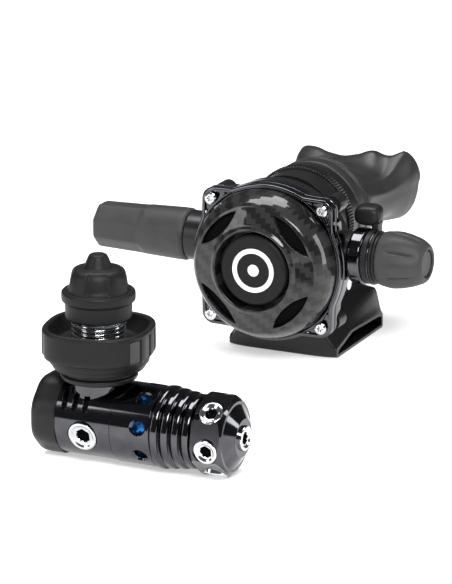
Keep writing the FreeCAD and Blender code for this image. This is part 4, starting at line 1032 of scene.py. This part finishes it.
def wheel_radius(angle, inset=0.0):
    """Outline of the wheel: a square with bulging sides, turned a little."""
    turned_angle = angle - WHEEL_TURN
    c, s = abs(math.cos(turned_angle)), abs(math.sin(turned_angle))
    return (WHEEL_HALF - inset) * (c ** WHEEL_POWER + s ** WHEEL_POWER) ** (-1 / WHEEL_POWER)


def pad_share(angle, half_width=7.4):
    """1 inside a grip pad's width, 0 outside."""
    best = 0.0
    for pad in PAD_ANGLES:
        near = math.degrees((angle - WHEEL_TURN - math.radians(pad) + math.pi) % (2 * math.pi) - math.pi)
        best = max(best, 1 - smooth_step(half_width, half_width + 1.0, abs(near)))
    return best


PAD_SUNK = 0.8                      # depth of a pad's seat in the wheel
PAD_BACK = 1.4
PAD_STEPS = 16
WHEEL_STEPS = 720


def make_grip_pad(name, pad, replaced):
    """Curved pad that fills its seat and stands a little proud of the wheel."""
    rows = []
    shares = [2 * step / PAD_STEPS - 1 for step in range(PAD_STEPS + 1)]
    for z, width, proud, lower in ((28.7, 5.2, 0.35, 0.25), (29.2, 6.6, 0.42, 0), (30.2, 6.9, 0.45, 0),
                                   (32.0, 6.9, 0.45, 0), (34.0, 6.9, 0.45, 0), (36.4, 6.9, 0.45, 0),
                                   (37.4, 6.5, 0.42, 0), (38.0, 5.0, 0.35, 0)):
        front = [(share, -PAD_SUNK + proud * (1 - abs(share) ** 8 * 0.6) - lower) for share in shares]
        back = [(share, -PAD_BACK) for share in reversed(shares)]
        row = []
        for share, rise in front + back:
            angle = WHEEL_TURN + math.radians(pad + width * share)
            radius = wheel_radius(angle) + rise
            row.append(place_mm(FIRST, radius * math.cos(angle), radius * math.sin(angle), z))
        rows.append(row)
    lofted_piece(name, rows, "grey_grip", "wheel", replaced, angle=40, hollow=False)


def make_handwheel():
    """Rubber-covered wheel: four convex sides, a deep dish and a stepped foot."""
    rings = round_rings(((22.15, 12.0), (22.15, 18.4), (22.3, 19.0), (22.9, 19.5), (24.4, 19.9), (24.7, 20.6),
                         (25.2, 21.0), (27.3, 21.0)), WHEEL_STEPS)
    for z, inset, sunk in ((27.5, 1.35, 0), (27.8, 0.8, 0), (28.5, 0.25, 0.5), (29.4, 0.02, PAD_SUNK),
                           (30.6, 0, PAD_SUNK), (37.4, 0, PAD_SUNK), (38.1, 0, 0.6), (38.4, 0, 0.1),
                           (39.0, 0, 0), (39.6, 0.15, 0), (40.0, 0.5, 0), (40.2, 1.0, 0), (40.2, 1.7, 0),
                           (40.05, 2.2, 0), (39.7, 2.6, 0), (39.0, 2.9, 0), (38.2, 3.1, 0)):
        rings.append(level_ring(z, lambda a: wheel_radius(a, inset) - sunk * pad_share(a), WHEEL_STEPS))
    rings.append(level_ring(35.7, lambda a: 0.5 * wheel_radius(a, 3.8) + 0.5 * 18.6, WHEEL_STEPS))
    rings += round_rings(((34.0, 18.0), (33.4, 17.4), (33.2, 16.6), (33.1, 12.6), (32.8, 12.0)), WHEEL_STEPS)
    lofted_piece("wheel_moulding", rings, "cap_rubber", "wheel", ["din_handwheel"], "charcoal_rubber")
    for index, pad in enumerate(PAD_ANGLES):
        make_grip_pad("grip_pad_%d" % (index + 1), pad, ["wheel_grip_pads"] if index == 0 else ())


DIN_PITCH = 1.814
DIN_ROOT = 10.3
DIN_TOOTH = 1.13
DIN_LOW = 33.2
DIN_HIGH = 45.6
DIN_ROWS_PER_TURN = 12
DIN_STEPS = 96


def din_radius(z):
    """Radius by angle of the threaded sleeve at a height."""
    runout = smooth_step(0, 1.2, z - DIN_LOW) * smooth_step(0, 1.0, DIN_HIGH - z)

    def radius_at(angle):
        phase = (z / DIN_PITCH - angle / (2 * math.pi)) % 1.0
        tooth = smooth_step(0.12, 0.82, 1 - abs(phase - 0.5) * 2)
        return DIN_ROOT + DIN_TOOTH * tooth * runout
    return radius_at


def make_din_thread():
    """Real helical G5/8 thread on the sleeve, from the dish up into the cap."""
    rows = int((DIN_HIGH - DIN_LOW) / DIN_PITCH * DIN_ROWS_PER_TURN)
    rings = round_rings(((33.0, 8.6), (33.0, 10.35)), DIN_STEPS)
    for row in range(rows + 1):
        z = DIN_LOW + (DIN_HIGH - DIN_LOW) * row / rows
        rings.append(level_ring(z, din_radius(z), DIN_STEPS))
    rings += round_rings(((45.9, 10.1), (45.9, 8.35), (42.2, 8.35)), DIN_STEPS)
    points, faces = loft(rings, closed_ends=False)
    return flat_shading(make_object("din_thread", points, faces, "bright_chrome", "wheel"), 60)


# ---- first stage: barrel ----
GUARD_FACET = 0.028                 # how far a facet's middle is sunk, as a share of the radius


def guard_ring(x, radius, facet=GUARD_FACET):
    """Ring of the end guard: round with eight soft facets, which fade out towards the middle."""
    def radius_at(angle):
        near = (angle + math.pi / 8) % (math.pi / 4) - math.pi / 8
        return radius * (1 - facet * (1 - smooth_step(0.0, 0.36, abs(near))) * smooth_step(4, 12, radius))
    return ring_about(FIRST + X * x * MM, Y, Z, radius_at, 192)


def make_guards():
    """Rubber end guard, and the saddle under the wheel."""
    profile = ((-12.65, 16.9), (-12.8, 17.15), (-13.4, 17.3), (-19.6, 17.25), (-21.8, 17.1), (-23.2, 16.6),
               (-24.0, 16.05), (-24.3, 15.7), (-24.6, 15.0), (-24.72, 14.0), (-24.72, 0.4))
    rings = [guard_ring(-12.65, 15.3, 0)] + [guard_ring(x, radius) for x, radius in profile]
    points, faces = loft(rings, closed_ends=False)
    obj = make_object("end_guard_moulding", points, faces, "guard_rubber", "first_stage", ["end_guard"],
                      slot="charcoal_rubber")
    flat_shading(obj, 40)
    outline = [(17.42, 12.4), (17.42, 15.4), (18.0, 16.1), (19.4, 16.3), (19.9, 15.9), (20.1, 15.3),
               (21.4, 15.2), (21.85, 14.8), (21.85, 12.4)]
    turned_piece("saddle_moulding", outline, FIRST, Z, "guard_rubber", "first_stage", ["saddle_guard"],
                 soft=0.3, slot="charcoal_rubber")


RIB_COUNT = 4
RIB_LOW = 30.92
RIB_HIGH = 48.85
RIB_CREST = 17.5
RIB_TAPER = 0.62                    # each crest stands this much lower than the one before


def make_ribbed_housing():
    """Plated piston housing with four rounded ribs that get lower towards the turret."""
    outline = [(RIB_LOW, 13.0), (RIB_LOW, 16.0)]
    pitch = (RIB_HIGH - RIB_LOW) / RIB_COUNT
    for turn in range(RIB_COUNT):
        start = RIB_LOW + pitch * turn
        crest = RIB_CREST - RIB_TAPER * turn
        outline += [(start + 0.3, crest - 1.7), (start + 0.45, crest - 0.4), (start + 0.9, crest)]
        outline += [(start + 2.6, crest), (start + 3.3, crest - 0.25), (start + 3.6, crest - 0.9)]
        outline.append((start + pitch - 0.2, crest - 1.7))
    outline += [(RIB_HIGH, 13.8), (RIB_HIGH, 13.0)]
    turned_piece("ribbed_sleeve", outline, FIRST, X, "black_chrome", "first_stage", ["piston_housing"],
                 soft=0.45, steps=192)


def radial(angle):
    """Direction square to the barrel in degrees: 0 is the front, 90 is up."""
    return Vector((0, -math.cos(math.radians(angle)), math.sin(math.radians(angle))))


def make_plug(name, place, way, reach, head_r, half_hex, body, replaced=()):
    """Port plug with a bevelled head, a dish and a deep hexagon socket whose walls are painted near black as
    shade.
    """
    turn = way.to_track_quat("Z", "Y").to_matrix()

    def ring(along, radius_at):
        return ring_about(place + way * (reach + along) * MM, turn.col[0], turn.col[1], radius_at, 96)

    def hexagon(angle):
        near = (angle + math.pi / 6) % (math.pi / 3) - math.pi / 6
        return half_hex / math.cos(near)

    outline = ((-5.8, 0.9), (-2.25, 0.9), (-2.2, 0), (-0.55, 0), (-0.2, 0.12), (0.0, 0.5), (0.02, 0.9),
               (-0.1, 1.25), (-0.5, 1.7), (-0.75, 2.1))
    rings = [ring(along, head_r - inset) for along, inset in outline]
    rings += [ring(-0.8, half_hex + 0.75), ring(-0.8, lambda angle: hexagon(angle) + 0.25)]
    rings += [ring(-1.1, hexagon), ring(-3.0, hexagon), ring(-3.3, 0.3)]
    obj = lofted_piece(name, rings, "bright_chrome", body, replaced, angle=30, hollow=False)
    # Painted shade: the socket's faces take the near-black shadow_black instead of chrome.
    obj.data.materials.append(MATERIALS["shadow_black"])
    for face in obj.data.polygons:
        local = turn.inverted() @ (face.center - place) / MM
        in_socket = math.hypot(local.x, local.y) < half_hex + 0.2 and local.z > reach - 4
        face.material_index = int(in_socket)


TURRET_X = 56.0
TURRET_PLUG = (5.25, 2.3)           # head radius and half width of the hexagon
GAUGE_PLUG = (6.4, 2.8)


def make_plugs():
    """Plugs of the turret and of the two gauge ports, each at its distance from the axis."""
    turret = FIRST + X * TURRET_X * MM
    for index, angle in enumerate((50, -10, -70)):
        replaced = ["low_pressure_plugs"] if index == 0 else ()
        make_plug("turret_plug_%d" % (index + 1), turret, radial(angle), 16.5, *TURRET_PLUG, "turret_unit",
                  replaced)
    make_plug("turret_plug_end", FIRST, X, 67.4, *TURRET_PLUG, "turret_unit")
    make_plug("gauge_plug_front", FIRST, radial(-14), 16.8, *GAUGE_PLUG, "first_stage",
              ["high_pressure_plugs"])
    make_plug("gauge_plug_back", FIRST, radial(194), 16.8, *GAUGE_PLUG, "first_stage")


make_dust_cap()
make_handwheel()
make_din_thread()
make_guards()
make_ribbed_housing()
make_plugs()
